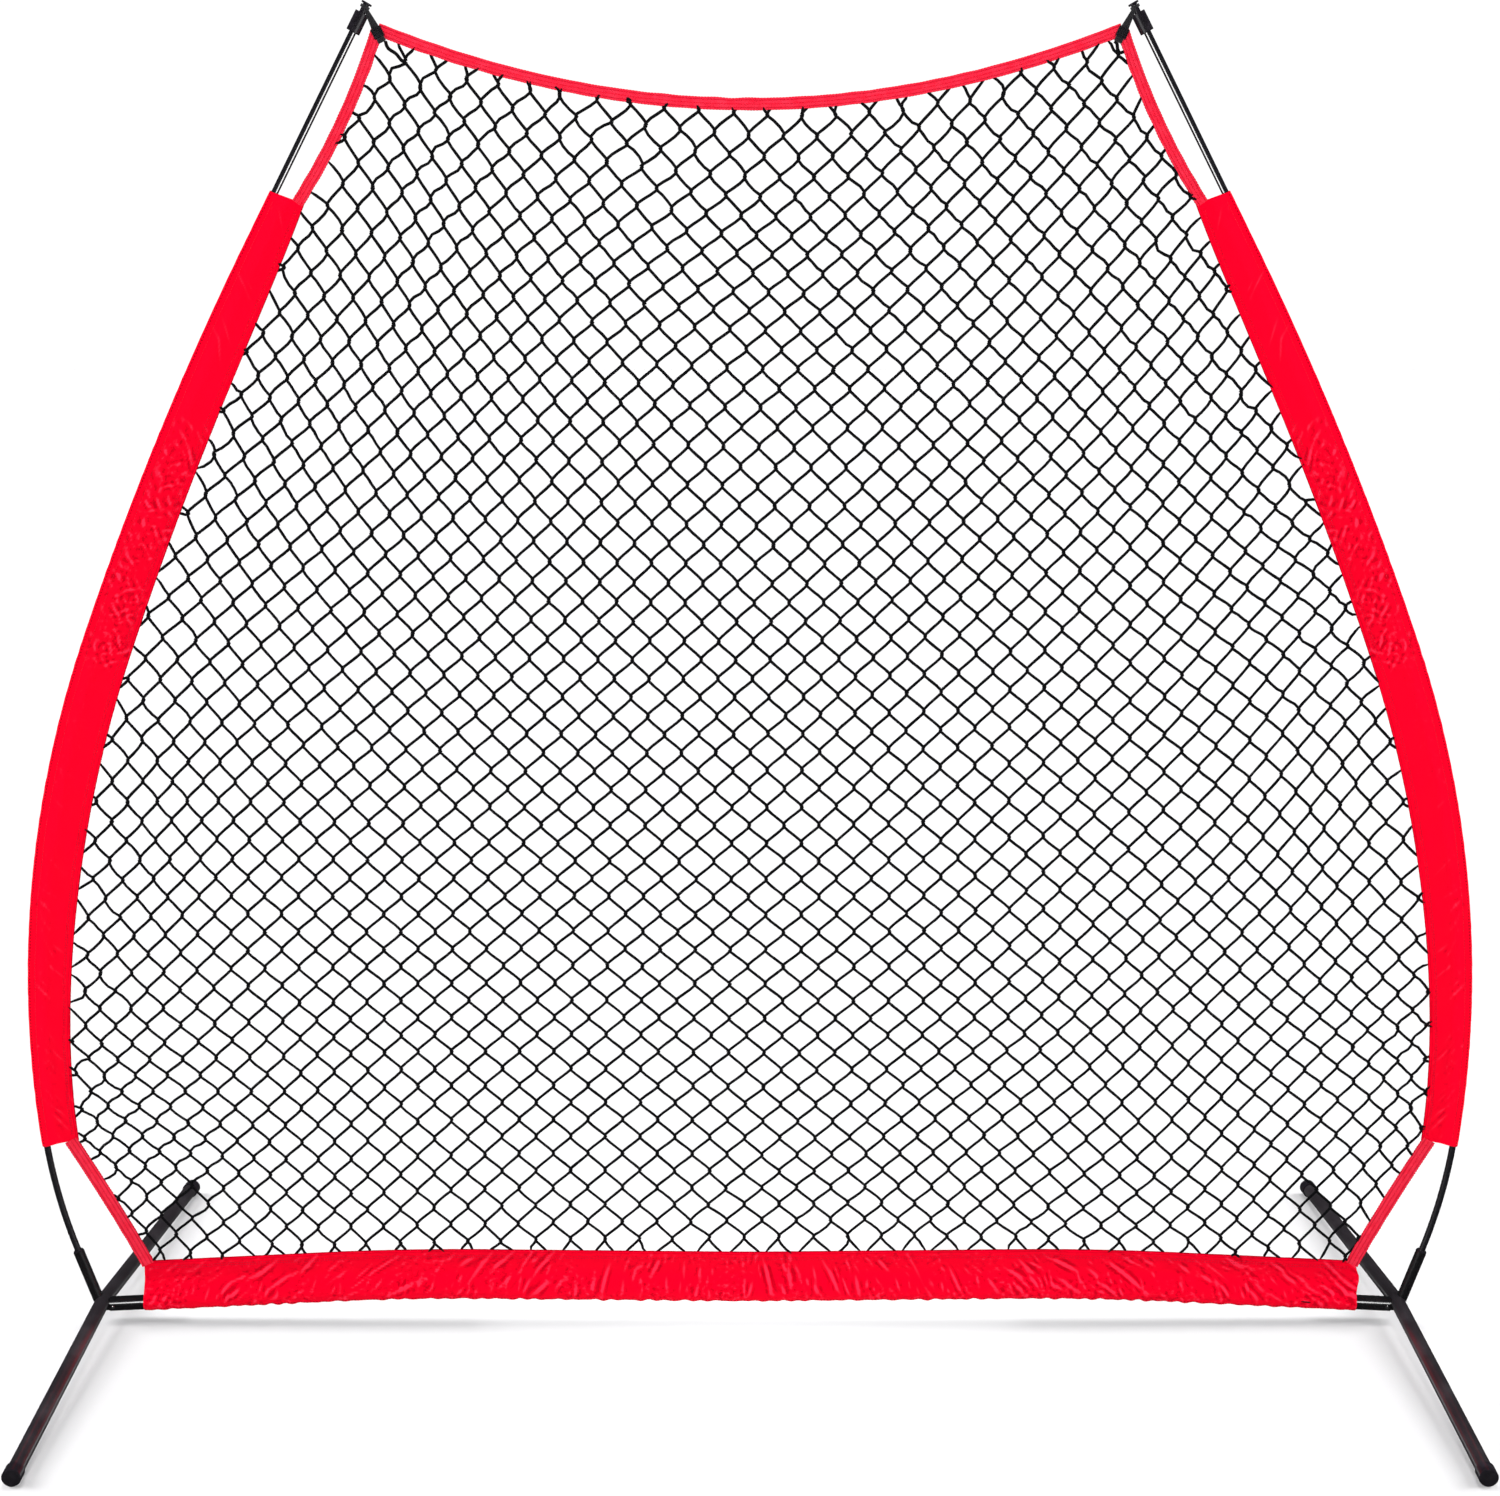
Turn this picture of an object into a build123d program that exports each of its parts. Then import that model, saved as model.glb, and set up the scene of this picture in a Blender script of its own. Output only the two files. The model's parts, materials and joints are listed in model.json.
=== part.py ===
from build123d import *
import os
from math import cos, pi, radians, sin, sqrt

# Free-standing ball net. Two bowed fibreglass poles stand in sockets on steel feet, a four-piece
# crossbar joins the feet, and the poles pull a diamond-mesh net taut through cloth sleeves.
# Millimetres. X runs across the net, Y from front to back, Z up. The origin is on the ground under
# the middle of the crossbar. The right half (+X) is modelled and the left half is its mirror.

# ---------------------------------------------------------------- clearances
slip = 0.05  # radial gap of tubes, spigots, bushes and caps that push together
run_gap = 0.05  # radial gap of a piece that turns or slides in another
cloth_gap = 0.3  # gap between cloth and what it touches

# ---------------------------------------------------------------- feet
hub_x = 991.0  # the leg tube's middle, from the net's middle
leg_radius = 11.0
leg_wall = 1.5
leg_length = 449.8  # from the hub to the outer face of a foot cap
leg_droop = 2.3  # degrees that each leg slopes down from the hub
leg_toe_in = 2.17  # degrees that each leg turns in towards the middle
leg_bend = 150.0  # bend radius of the leg tube at the hub
foot_cap_radius = 13.0
foot_cap_length = 20.0
foot_cap_floor = 3.0
foot_cap_round = 2.0
weld_gap = 0.05  # a coped tube end stops this far from the tube it is welded to

# ---------------------------------------------------------------- crossbar
bar_middle_z = 45.0  # the net's pull bows the bar up between the feet
bar_radius = 11.0
bar_wall = 1.2
bar_dip_radius = 5000.0  # bend at the middle joint
bar_dip_turn = 0.6  # degrees
bar_rise_length = 350.0  # straight run from the dip to the crown
bar_crown_radius = 3930.0
bar_crown_turn = -3.5  # degrees
bar_joint = 490.0  # the joint of the inner and outer sections, along the bar
bar_hub_gap = 1.0  # between the bar's end and the leg tube
spigot_length = 100.0
spigot_wall = 1.5
stub_length = 85.0  # welded stub that the bar's outer section pushes over
stub_wall = 1.5
bar_cord_radius = 2.0
bar_cord_droop = 5.5  # the cord lies low in the bar

# ---------------------------------------------------------------- snap button
button_inset = 7.0  # from the bar's end to the button's axis
button_radius = 3.0
button_flange_radius = 4.2
button_flange = 1.0
button_proud = 2.6  # height of the dome above the bar
button_round = 1.8
button_travel = 4.0
clip_width = 6.0
clip_thickness = 0.6
clip_length = 42.0

# ---------------------------------------------------------------- poles
pole_base_x = 996.0  # where the socket's axis starts, beside the leg tube's axis
pole_base_z = 32.0
pole_lean = 17.5  # degrees outward from upright in the socket
pole_radius = 4.75
pole_bore = 2.2
pole_low_radius = 840.0  # the bend just above the socket
pole_low_turn = 13.3  # degrees
pole_middle_radius = 1680.0
pole_middle_turn = 25.9  # degrees
pole_high_radius = 4780.0
pole_high_turn = 7.3  # degrees
pole_tip_length = 360.0  # straight run up to the top of the tip cap
pole_start = 10.0  # the pole's lower end, along its line
pole_sections = 4
ferrule_wall = 0.75
ferrule_length = 60.0
pole_cord_radius = 1.6
pole_cord_inset = 12.0  # the cord's knots stop this far inside the pole's ends

# ---------------------------------------------------------------- pole sockets
socket_start = 3.0
socket_length = 83.0
socket_radius = 8.0
socket_wall = 1.2
bush_length = 40.0
bush_rim = 2.5
bush_rim_radius = 7.3
bush_chamfer = 1.0

# ---------------------------------------------------------------- tip caps
cap_radius = 9.25
cap_length = 28.0
cap_grip = 22.5  # depth of the bore over the pole
cap_recess = 2.0  # depth of the ring-shaped recess at each end
cap_rim = 1.8
cap_round = 0.6
neck_radius = 4.3
neck_length = 12.0
head_radius = 7.2
head_thickness = 2.8
head_round = 1.1

# ---------------------------------------------------------------- cloth
cloth = 2.0  # both layers of a sleeve's flat
sleeve_wall = 1.5  # cloth round a pole or the bar
sleeve_start = 263.0  # lower and upper ends of a side sleeve, along the pole
sleeve_end = 1730.0
sleeve_skew = (10.0, 7.0)  # how much further up the inner corners lie
sleeve_widths = (49.0, 58.0, 64.0, 62.0, 57.0, 41.5)  # pole's axis to inner edge, from below
bottom_sleeve_inset = 53.6  # from the bar's end to the bottom sleeve's end
bottom_sleeve_height = 68.0  # bar's axis to upper edge
binding_thickness = 2.4
binding_width = 16.0
low_binding_width = 20.0
corner_inset = 34.0  # from the pole's axis in to the net's upper corner
corner_drop = 7.7  # from the tip cap's top down the pole to the upper corner
top_sag = 93.0  # dip of the top binding
side_pull = 7.0  # how far the net pulls an upper side binding in from a straight line
run_on = 12.0  # a side binding is drawn this much too long and cut by its neighbours
low_corner_inset = 9.3  # from the bottom sleeve's end in to the net's lower corner

# ---------------------------------------------------------------- net
net_thickness = 2.5
net_border = 4.0  # selvage left whole round the mesh
twine = 3.0
cell_width = 139.0  # one gap of this net stands for about eight of the real mesh
cell_height = 158.0
smallest_gap = 150.0  # square millimetres, below which an edge gap is left closed

# ---------------------------------------------------------------- corner straps
strap_height = 8.4  # where the strap goes round the neck, above the cap
strap_thickness = 2.0
strap_neck_width = 4.6
strap_width = 11.0
strap_tail = 7.0  # sewn end below the slider
strap_loop_height = 4.6
strap_loop_wall = 2.0
slider_drop = 4.8  # from the upper corner to the slider's middle, down the pole
slider_shift = 4.0  # and out towards the pole
slider_length = 13.0
slider_wall = 1.4
slider_back = 1.0
slider_windows = 2
slider_bar = 3.0
slider_travel = 8.0


# ================================================================ helpers
up = (Align.CENTER, Align.CENTER, Align.MIN)  # a cylinder standing on its plane


class UprightLine:
    """A tangent chain of straight runs and arcs in the net's plane, measured along itself."""

    def __init__(self, start, heading, runs):
        """runs holds (length, turn in degrees); a turn is anticlockwise seen from the front."""
        self.pieces = []
        self.length = 0.0
        x, z = start
        angle = radians(heading)
        for length, turn in runs:
            self.pieces.append((self.length, length, radians(turn) / length, x, z, angle))
            self.length += length
            x, z, angle = self.at(self.length)

    def at(self, distance):
        """x, z and heading in radians at a distance along the line."""
        for first, length, bend, x, z, angle in self.pieces:
            if distance <= first + length + 1e-9:
                break
        along = distance - first
        if bend == 0.0:
            return x + along * cos(angle), z + along * sin(angle), angle
        end = angle + bend * along
        return x + (sin(end) - sin(angle)) / bend, z - (cos(end) - cos(angle)) / bend, end

    def beside(self, distance, offset):
        """A point to the left of the line, which is the net's side on a right-hand pole."""
        x, z, angle = self.at(distance)
        return x - offset * sin(angle), 0.0, z + offset * cos(angle)

    def plane(self, distance):
        """A plane square to the line, with +Z along it and +X to the back."""
        x, z, angle = self.at(distance)
        return Plane(origin=(x, 0, z), x_dir=(0, 1, 0), z_dir=(cos(angle), 0, sin(angle)))

    def edges(self, start, end, offset=0.0):
        """Lines and arcs from start to end, moved sideways by offset."""
        found = []
        for first, length, bend, *_ in self.pieces:
            low = max(start, first)
            high = min(end, first + length)
            if high - low < 1e-6:
                continue
            ends = [self.beside(at, offset) for at in (low, (low + high) / 2, high)]
            found.append(Line(ends[0], ends[2]) if bend == 0.0 else ThreePointArc(*ends))
        return found


def arc_run(radius, turn):
    """A run of a line that turns by an angle at a radius."""
    return radius * radians(abs(turn)), turn


def tube(line, start, end, outer, inner=0.0):
    """A round tube or rod along a line."""
    section = line.plane(start) * Circle(outer)
    if inner:
        section -= line.plane(start) * Circle(inner)
    return sweep(section, path=Wire(Curve(line.edges(start, end)).edges()))


def slab(face, thickness):
    """A flat piece in the net's plane, centred on it."""
    return extrude(face, amount=thickness / 2, dir=(0, 1, 0), both=True)


def ribbon(curve, width, extra=0.0, points=9):
    """A flat strip of a width along a curve, run on at both ends by extra, with points a side."""
    rows = {1: [], -1: []}
    for i in range(points):
        t = i / (points - 1)
        at = curve.position_at(t)
        way = curve.tangent_at(t)
        run_on = way * (extra if i == points - 1 else -extra if i == 0 else 0.0)
        across = Vector(-way.Z, 0, way.X) * (width / 2)
        for side, row in rows.items():
            row.append(at + run_on + across * side)
    left, right = Spline(rows[1]), Spline(rows[-1])
    return make_face([left, Line(left @ 1, right @ 1), right, Line(right @ 0, left @ 0)])


def spaced(low, high, count):
    """Evenly spaced values, ends included."""
    return [low + (high - low) * i / (count - 1) for i in range(count)]


def mirrored(shape):
    """The left-hand copy of a right-hand shape."""
    return mirror(shape, about=Plane.YZ)


def round_solid(profile):
    """A solid turned about Z from (radius, height) corners."""
    return revolve(make_face(Polyline([(r, 0, z) for r, z in profile], close=True)), Axis.Z)


# ================================================================ centre lines
pole_bows = [
    arc_run(pole_low_radius, pole_low_turn),
    arc_run(pole_middle_radius, pole_middle_turn),
    arc_run(pole_high_radius, pole_high_turn),
]
socket_top = socket_start + socket_length
pole_line = UprightLine(
    (pole_base_x, pole_base_z),
    90.0 - pole_lean,
    [(socket_top, 0.0), *pole_bows, (pole_tip_length, 0.0)],
)
cap_top = pole_line.length - neck_length - head_thickness
cap_bottom = cap_top - cap_length
pole_end = cap_bottom + cap_grip

bar_bows = [
    arc_run(bar_dip_radius, bar_dip_turn),
    (bar_rise_length, 0.0),
    arc_run(bar_crown_radius, bar_crown_turn),
]
crown_end = UprightLine((0.0, bar_middle_z), 0.0, bar_bows)
crown_x, crown_z, crown_heading = crown_end.at(crown_end.length)
bar_line = UprightLine(
    (0.0, bar_middle_z), 0.0, [*bar_bows, ((hub_x - crown_x) / cos(crown_heading), 0.0)]
)
bar_end = bar_line.length - leg_radius - bar_hub_gap
button_at = bar_end - button_inset
bottom_sleeve_end = bar_end - bottom_sleeve_inset

parts = {}


def add_pair(name, shape):
    """Keeps a right-hand piece and its mirror."""
    parts["right_" + name] = shape
    parts["left_" + name] = mirrored(shape)


# ================================================================ feet
droop = radians(leg_droop)
toe_in = radians(leg_toe_in)
foot_z = (foot_cap_radius - foot_cap_round) * cos(droop) + foot_cap_round * (1 - sin(droop))
hub_z = foot_z + leg_length * sin(droop)
hub = Vector(hub_x, 0, hub_z)
outward = {
    "front": Vector(-sin(toe_in) * cos(droop), -cos(toe_in) * cos(droop), -sin(droop)),
    "rear": Vector(-sin(toe_in) * cos(droop), cos(toe_in) * cos(droop), -sin(droop)),
}
tube_ends = {end: hub + way * (leg_length - foot_cap_floor) for end, way in outward.items()}
leg_path = FilletPolyline(tube_ends["front"], hub, tube_ends["rear"], radius=leg_bend)
leg_start = Plane(origin=tube_ends["front"], z_dir=-outward["front"])


def leg_rod(radius):
    return sweep(leg_start * Circle(radius), path=leg_path)


add_pair("foot_tube", leg_rod(leg_radius) - leg_rod(leg_radius - leg_wall))
leg_cut = leg_rod(leg_radius + weld_gap)


def foot_cap():
    """A cap with its outer face at z = 0 and its mouth up."""
    body = Cylinder(foot_cap_radius, foot_cap_length, align=up)
    body = fillet(body.edges().group_by(Axis.Z)[0], foot_cap_round)
    body = chamfer(body.edges().group_by(Axis.Z)[-1], (foot_cap_radius - leg_radius) / 2)
    bore = Cylinder(leg_radius + slip, foot_cap_length - foot_cap_floor, align=up)
    return body - Pos(0, 0, foot_cap_floor) * bore


for end, way in outward.items():
    add_pair(f"{end}_foot_cap", Plane(origin=hub + way * leg_length, z_dir=-way) * foot_cap())

# ================================================================ crossbar
bar_bore = bar_radius - bar_wall
spigot_radius = bar_bore - slip
outer_bar = tube(bar_line, bar_joint, bar_end, bar_radius, bar_bore)
stub = tube(bar_line, bar_end - stub_length, bar_line.length, spigot_radius, spigot_radius - stub_wall)

# the snap button's axis points forward, square to the bar
button_x, button_z, button_heading = bar_line.at(button_at)
button_plane = Plane(
    origin=(button_x, 0, button_z), x_dir=(cos(button_heading), 0, sin(button_heading)), z_dir=(0, -1, 0)
)
button_hole = button_plane * Cylinder(button_radius + run_gap, 2 * bar_radius, align=up)
flange_top = sqrt((spigot_radius - stub_wall) ** 2 - button_flange_radius**2) - 2 * run_gap
flange_base = flange_top - button_flange
button_tip = bar_radius + button_proud

add_pair("outer_crossbar", outer_bar - button_hole)
add_pair("crossbar_stub", stub - leg_cut - button_hole)
add_pair("inner_crossbar", tube(bar_line, 0, bar_joint, bar_radius, bar_bore))
half_spigot = spigot_length / 2
spigot_bore = spigot_radius - spigot_wall
add_pair(
    "quarter_spigot",
    tube(bar_line, bar_joint - half_spigot, bar_joint + half_spigot, spigot_radius, spigot_bore),
)
half_middle = tube(bar_line, 0, half_spigot, spigot_radius, spigot_bore)
parts["middle_spigot"] = half_middle + mirrored(half_middle)

cord_line = UprightLine((0.0, bar_middle_z - bar_cord_droop), 0.0, bar_bows)
half_cord = tube(cord_line, 0, cord_line.length, bar_cord_radius)
parts["crossbar_shock_cord"] = half_cord + mirrored(half_cord)

# ================================================================ snap buttons
button = round_solid(
    [
        (0, flange_base),
        (button_flange_radius, flange_base),
        (button_flange_radius, flange_top),
        (button_radius, flange_top),
        (button_radius, button_tip),
        (0, button_tip),
    ]
)
button = fillet(button.edges().group_by(Axis.Z)[-1], button_round)
add_pair("snap_button", button_plane * button)

clip_rest = spigot_radius - stub_wall - clip_width**2 / 8 / spigot_radius - 3 * clip_thickness
clip_side = Polyline(
    [
        (button_flange_radius, 0, flange_base - clip_thickness / 2 - run_gap),
        (-clip_length, 0, -clip_rest / 3),
        (button_flange_radius, 0, -clip_rest),
    ]
)
clip_face = trace(Plane.XZ.to_local_coords(clip_side), line_width=clip_thickness)
clip = extrude(Plane.XZ * clip_face, amount=clip_width / 2, dir=(0, 1, 0), both=True)
add_pair("snap_clip", button_plane * clip)

# ================================================================ poles
section_length = (pole_end - pole_start) / pole_sections
ferrule_radius = pole_radius + slip + ferrule_wall
for i in range(pole_sections):
    low = pole_start + i * section_length
    add_pair(f"pole_section_{i + 1}", tube(pole_line, low, low + section_length, pole_radius, pole_bore))
    if i:
        half = ferrule_length / 2
        add_pair(f"pole_ferrule_{i}", tube(pole_line, low - half, low + half, ferrule_radius, pole_radius + slip))
cord_ends = (pole_start + pole_cord_inset, pole_end - pole_cord_inset)
add_pair("pole_shock_cord", tube(pole_line, *cord_ends, pole_cord_radius))

socket_bore = socket_radius - socket_wall
socket = tube(pole_line, socket_start, socket_top, socket_radius, socket_bore)
add_pair("pole_socket", socket - leg_cut)
bush_bore = pole_radius + slip
bush = round_solid(
    [
        (bush_bore, -bush_length),
        (socket_bore - slip, -bush_length),
        (socket_bore - slip, 0),
        (bush_rim_radius, 0),
        (bush_rim_radius, bush_rim - bush_chamfer),
        (bush_rim_radius - bush_chamfer, bush_rim),
        (bush_bore, bush_rim),
    ]
)
add_pair("socket_bush", pole_line.plane(socket_top) * bush)

# ================================================================ tip caps
cap_bore = pole_radius + run_gap
cap_well = cap_radius - cap_rim
cap = round_solid(
    [
        (cap_bore, cap_recess),
        (cap_well, cap_recess),
        (cap_well, 0),
        (cap_radius, 0),
        (cap_radius, cap_length),
        (cap_well, cap_length),
        (cap_well, cap_length - cap_recess),
        (neck_radius, cap_length - cap_recess),
        (neck_radius, cap_length + neck_length),
        (0, cap_length + neck_length),
        (0, cap_grip),
        (cap_bore, cap_grip),
    ]
)
cap = fillet(cap.edges().filter_by(lambda edge: abs(edge.length - 2 * pi * cap_radius) < 1e-3), cap_round)
head = Cylinder(head_radius, head_thickness, align=up)
head = fillet(head.edges().filter_by(GeomType.CIRCLE), head_round)
cap += Pos(0, 0, cap_length + neck_length) * head
add_pair("tip_cap", pole_line.plane(cap_bottom) * cap)

# ================================================================ sleeves
sleeve_bore = ferrule_radius + cloth_gap


def side_sleeve_flat(grow=0.0):
    """The flat of a side sleeve, from the pole's axis to the seam, grown all round."""
    low, high = sleeve_start - grow, sleeve_end + grow
    stations = spaced(low + sleeve_skew[0], high + sleeve_skew[1], len(sleeve_widths))
    seam = Spline([pole_line.beside(at, wide + grow) for at, wide in zip(stations, sleeve_widths)])
    back = Curve(pole_line.edges(low, high))
    return make_face([*back.edges(), Line(back @ 1, seam @ 1), seam, Line(seam @ 0, back @ 0)])


def bottom_sleeve_flat(grow=0.0):
    """Half of the flat of the bottom sleeve, from the bar's axis to the upper edge."""
    far = bottom_sleeve_end + grow
    low = Curve(bar_line.edges(0, far))
    top = Curve(bar_line.edges(0, far, bottom_sleeve_height + grow))
    return make_face([*low.edges(), Line(low @ 1, top @ 1), *top.edges(), Line(top @ 0, low @ 0)])


def sleeve(line, start, end, flat, bore):
    """Cloth round a pole or bar and the flat double layer that hangs from it."""
    body = tube(line, start, end, bore + sleeve_wall) + slab(flat, cloth)
    return body - tube(line, start - 1, end + 1, bore)


add_pair("side_sleeve", sleeve(pole_line, sleeve_start, sleeve_end, side_sleeve_flat(), sleeve_bore))
bar_sleeve_bore = bar_radius + cloth_gap
half_bottom = tube(bar_line, 0, bottom_sleeve_end, bar_sleeve_bore + sleeve_wall)
half_bottom += slab(bottom_sleeve_flat(), cloth)
half_bottom -= tube(bar_line, 0, bottom_sleeve_end + 1, bar_sleeve_bore)
parts["bottom_sleeve"] = half_bottom + mirrored(half_bottom)

# ================================================================ bindings
corner = Vector(*pole_line.beside(cap_top - corner_drop, corner_inset))
top_curve = Bezier((-corner.X, 0, corner.Z), (0, 0, corner.Z - 2 * top_sag), corner)
seam_top = Vector(*pole_line.beside(sleeve_end + sleeve_skew[1], sleeve_widths[-1] - binding_width / 2))
side_chord = seam_top - corner
side_middle = corner + side_chord / 2 - Vector(-side_chord.Z, 0, side_chord.X).normalized() * side_pull
side_curve = ThreePointArc(corner, side_middle, seam_top)
low_width_in = sleeve_widths[0] - low_binding_width / 2
seam_low = Vector(*pole_line.beside(sleeve_start + sleeve_skew[0], low_width_in))
low_corner = Vector(*bar_line.beside(bottom_sleeve_end - low_corner_inset, bottom_sleeve_height))
low_curve = Line(seam_low, low_corner)


def top_strip(grow=0.0):
    return ribbon(top_curve, binding_width + 2 * grow, binding_width / 2 + grow, 13)


def side_strip(grow=0.0):
    return ribbon(side_curve, binding_width + 2 * grow, run_on)


def low_strip(grow=0.0):
    return ribbon(low_curve, low_binding_width + 2 * grow, run_on, 2)


parts["top_binding"] = slab(top_strip(), binding_thickness)
side_face = side_strip() - top_strip(cloth_gap) - side_sleeve_flat(cloth_gap)
low_face = low_strip() - side_sleeve_flat(cloth_gap) - bottom_sleeve_flat(cloth_gap)
for name, face in (("upper_binding", side_face), ("lower_binding", low_face)):
    add_pair(name, slab(face.faces().sort_by(SortBy.AREA)[-1], binding_thickness))

# ================================================================ net
def net_field(grow):
    """The area inside the bindings and sleeves, less a margin, as one face."""
    right = [corner, seam_top]
    right += [Vector(*pole_line.beside(at, 0)) for at in spaced(sleeve_end, sleeve_start, 5)]
    right += [seam_low, low_corner, Vector(*bar_line.beside(bottom_sleeve_end, 0))]
    left = [Vector(-point.X, 0, point.Z) for point in reversed(right)]
    area = Sketch([make_face(Polyline(right + left, close=True)).face()])
    area -= top_strip(grow)
    for strip in (side_strip(grow), low_strip(grow), side_sleeve_flat(grow), bottom_sleeve_flat(grow)):
        area -= strip
        area -= mirrored(strip)
    return area.faces().sort_by(SortBy.AREA)[-1]


def diamonds(low_z, high_z):
    """Gaps of the mesh, each a cell less half a twine all round."""
    side = sqrt(cell_width**2 + cell_height**2) / 2
    shrink = 1 - twine * side / (cell_width * cell_height / 2)
    gaps = []
    columns = int(hub_x / cell_width) + 2
    rows = int((high_z - low_z) / cell_height) + 2
    for row in range(2 * rows):
        for column in range(-columns, columns + 1):
            x = (column + row % 2 / 2) * cell_width
            z = low_z + row * cell_height / 2
            half_w, half_h = cell_width / 2 * shrink, cell_height / 2 * shrink
            corners = [(x - half_w, 0, z), (x, 0, z - half_h), (x + half_w, 0, z), (x, 0, z + half_h)]
            gaps.append(make_face(Polyline(corners, close=True)).face())
    return gaps


field = net_field(cloth_gap)
mesh_field = net_field(cloth_gap + net_border)
span = mesh_field.bounding_box()
gaps = []
for gap in diamonds(span.min.Z, span.max.Z):
    box = gap.bounding_box()
    if box.max.X < span.min.X or box.min.X > span.max.X or box.min.Z > span.max.Z:
        continue
    gaps += [piece for piece in (Sketch([gap]) & Sketch([mesh_field])).faces() if piece.area > smallest_gap]
net_face = Face(field.outer_wire(), [gap.outer_wire() for gap in gaps])
parts["net"] = slab(net_face, net_thickness)

# ================================================================ corner straps
neck = Vector(*pole_line.beside(cap_top + strap_height, 0))
slider_middle = Vector(*pole_line.beside(cap_top - corner_drop - slider_drop, corner_inset - slider_shift))
strap_way = (slider_middle - neck).normalized()
strap_run = (slider_middle - neck).length
strap_back = -binding_thickness / 2 - cloth_gap - slider_back - cloth_gap  # Y of its back face
strap_face_y = strap_back - strap_thickness
# a plane on the neck's axis with +X across the strap, +Y along it and +Z forward
strap_plane = Plane(
    origin=neck, x_dir=(-strap_way.Z, 0, strap_way.X), z_dir=(0, -1, 0)
)
strap_side = 1 if strap_plane.y_dir.dot(strap_way) > 0 else -1
slider_low = strap_run - slider_length / 2
slider_high = strap_run + slider_length / 2
strap_end = slider_high + strap_tail


def across_strap(low, high, low_width, high_width, back, front):
    """A flat tapered piece along the strap, from low to high, between two depths."""
    corners = [
        (low_width / 2, low * strap_side),
        (high_width / 2, high * strap_side),
        (-high_width / 2, high * strap_side),
        (-low_width / 2, low * strap_side),
    ]
    flat = make_face(Polyline([(x, y, 0) for x, y in corners], close=True))
    return strap_plane * (Pos(0, 0, back) * extrude(flat, amount=front - back, dir=(0, 0, 1)))


back, front = -strap_back, -strap_face_y
loop = pole_line.plane(cap_top + strap_height) * Cylinder(
    neck_radius + cloth_gap + strap_loop_wall, strap_loop_height
)
strap = loop + across_strap(0, slider_low, strap_neck_width, strap_width, back, front)
strap += across_strap(slider_low, strap_end, strap_width, strap_width, back, front)
strap += across_strap(
    slider_high + 1, strap_end, strap_width, strap_width, binding_thickness / 2 + slip, back
)
strap -= pole_line.plane(cap_top) * Cylinder(neck_radius + cloth_gap, neck_length, align=up)
strap -= pole_line.plane(cap_bottom) * Cylinder(cap_radius + cloth_gap, cap_length + cloth_gap, align=up)
add_pair("corner_strap", strap)

slot_half = strap_width / 2 + cloth_gap
outer_half = slot_half + slider_wall
slider_front = front + cloth_gap + slider_wall
slider = across_strap(
    slider_low, slider_high, 2 * outer_half, 2 * outer_half, back - cloth_gap - slider_back, slider_front
)
slider -= across_strap(
    slider_low - 1, slider_high + 1, 2 * slot_half, 2 * slot_half, back - cloth_gap, front + cloth_gap
)
window = (slider_length - (slider_windows + 1) * slider_bar) / slider_windows
for i in range(slider_windows):
    low = slider_low + slider_bar + i * (window + slider_bar)
    slider -= across_strap(low, low + window, 2 * slot_half, 2 * slot_half, front, slider_front + 1)
add_pair("strap_slider", slider)

# ================================================================ output
os.makedirs("parts", exist_ok=True)
for name, shape in parts.items():
    export_step(shape, f"parts/{name}.step")
print(f"{len(parts)} nodes, {len(gaps)} gaps in the net")
print(f"hub height {hub_z:.2f}, pole {pole_end - pole_start:.0f} long, top {pole_line.at(pole_line.length)[1]:.1f}")
print(f"pole tip heading {pole_line.at(pole_line.length)[2] * 180 / pi:.2f}, bar ends at {bar_end:.1f}")
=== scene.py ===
# %% [markdown]
# # A ball net between two bowed poles
# Two steel feet carry a crossbar and two fibreglass poles. The poles bend outward and pull a black
# diamond net taut through red nylon sleeves, with red webbing along the free edges of the net.
# The hard pieces come ready from the CAD frame and only get their finishes here. The soft pieces
# (net, sleeves, webbing, corner straps) and the snap springs are made as surfaces worked out with
# numpy, because their shapes are functions along a few named lines, and a formula keeps them exactly
# on the poles and the bar.

# %% Load the frame
import json
import math

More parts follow.
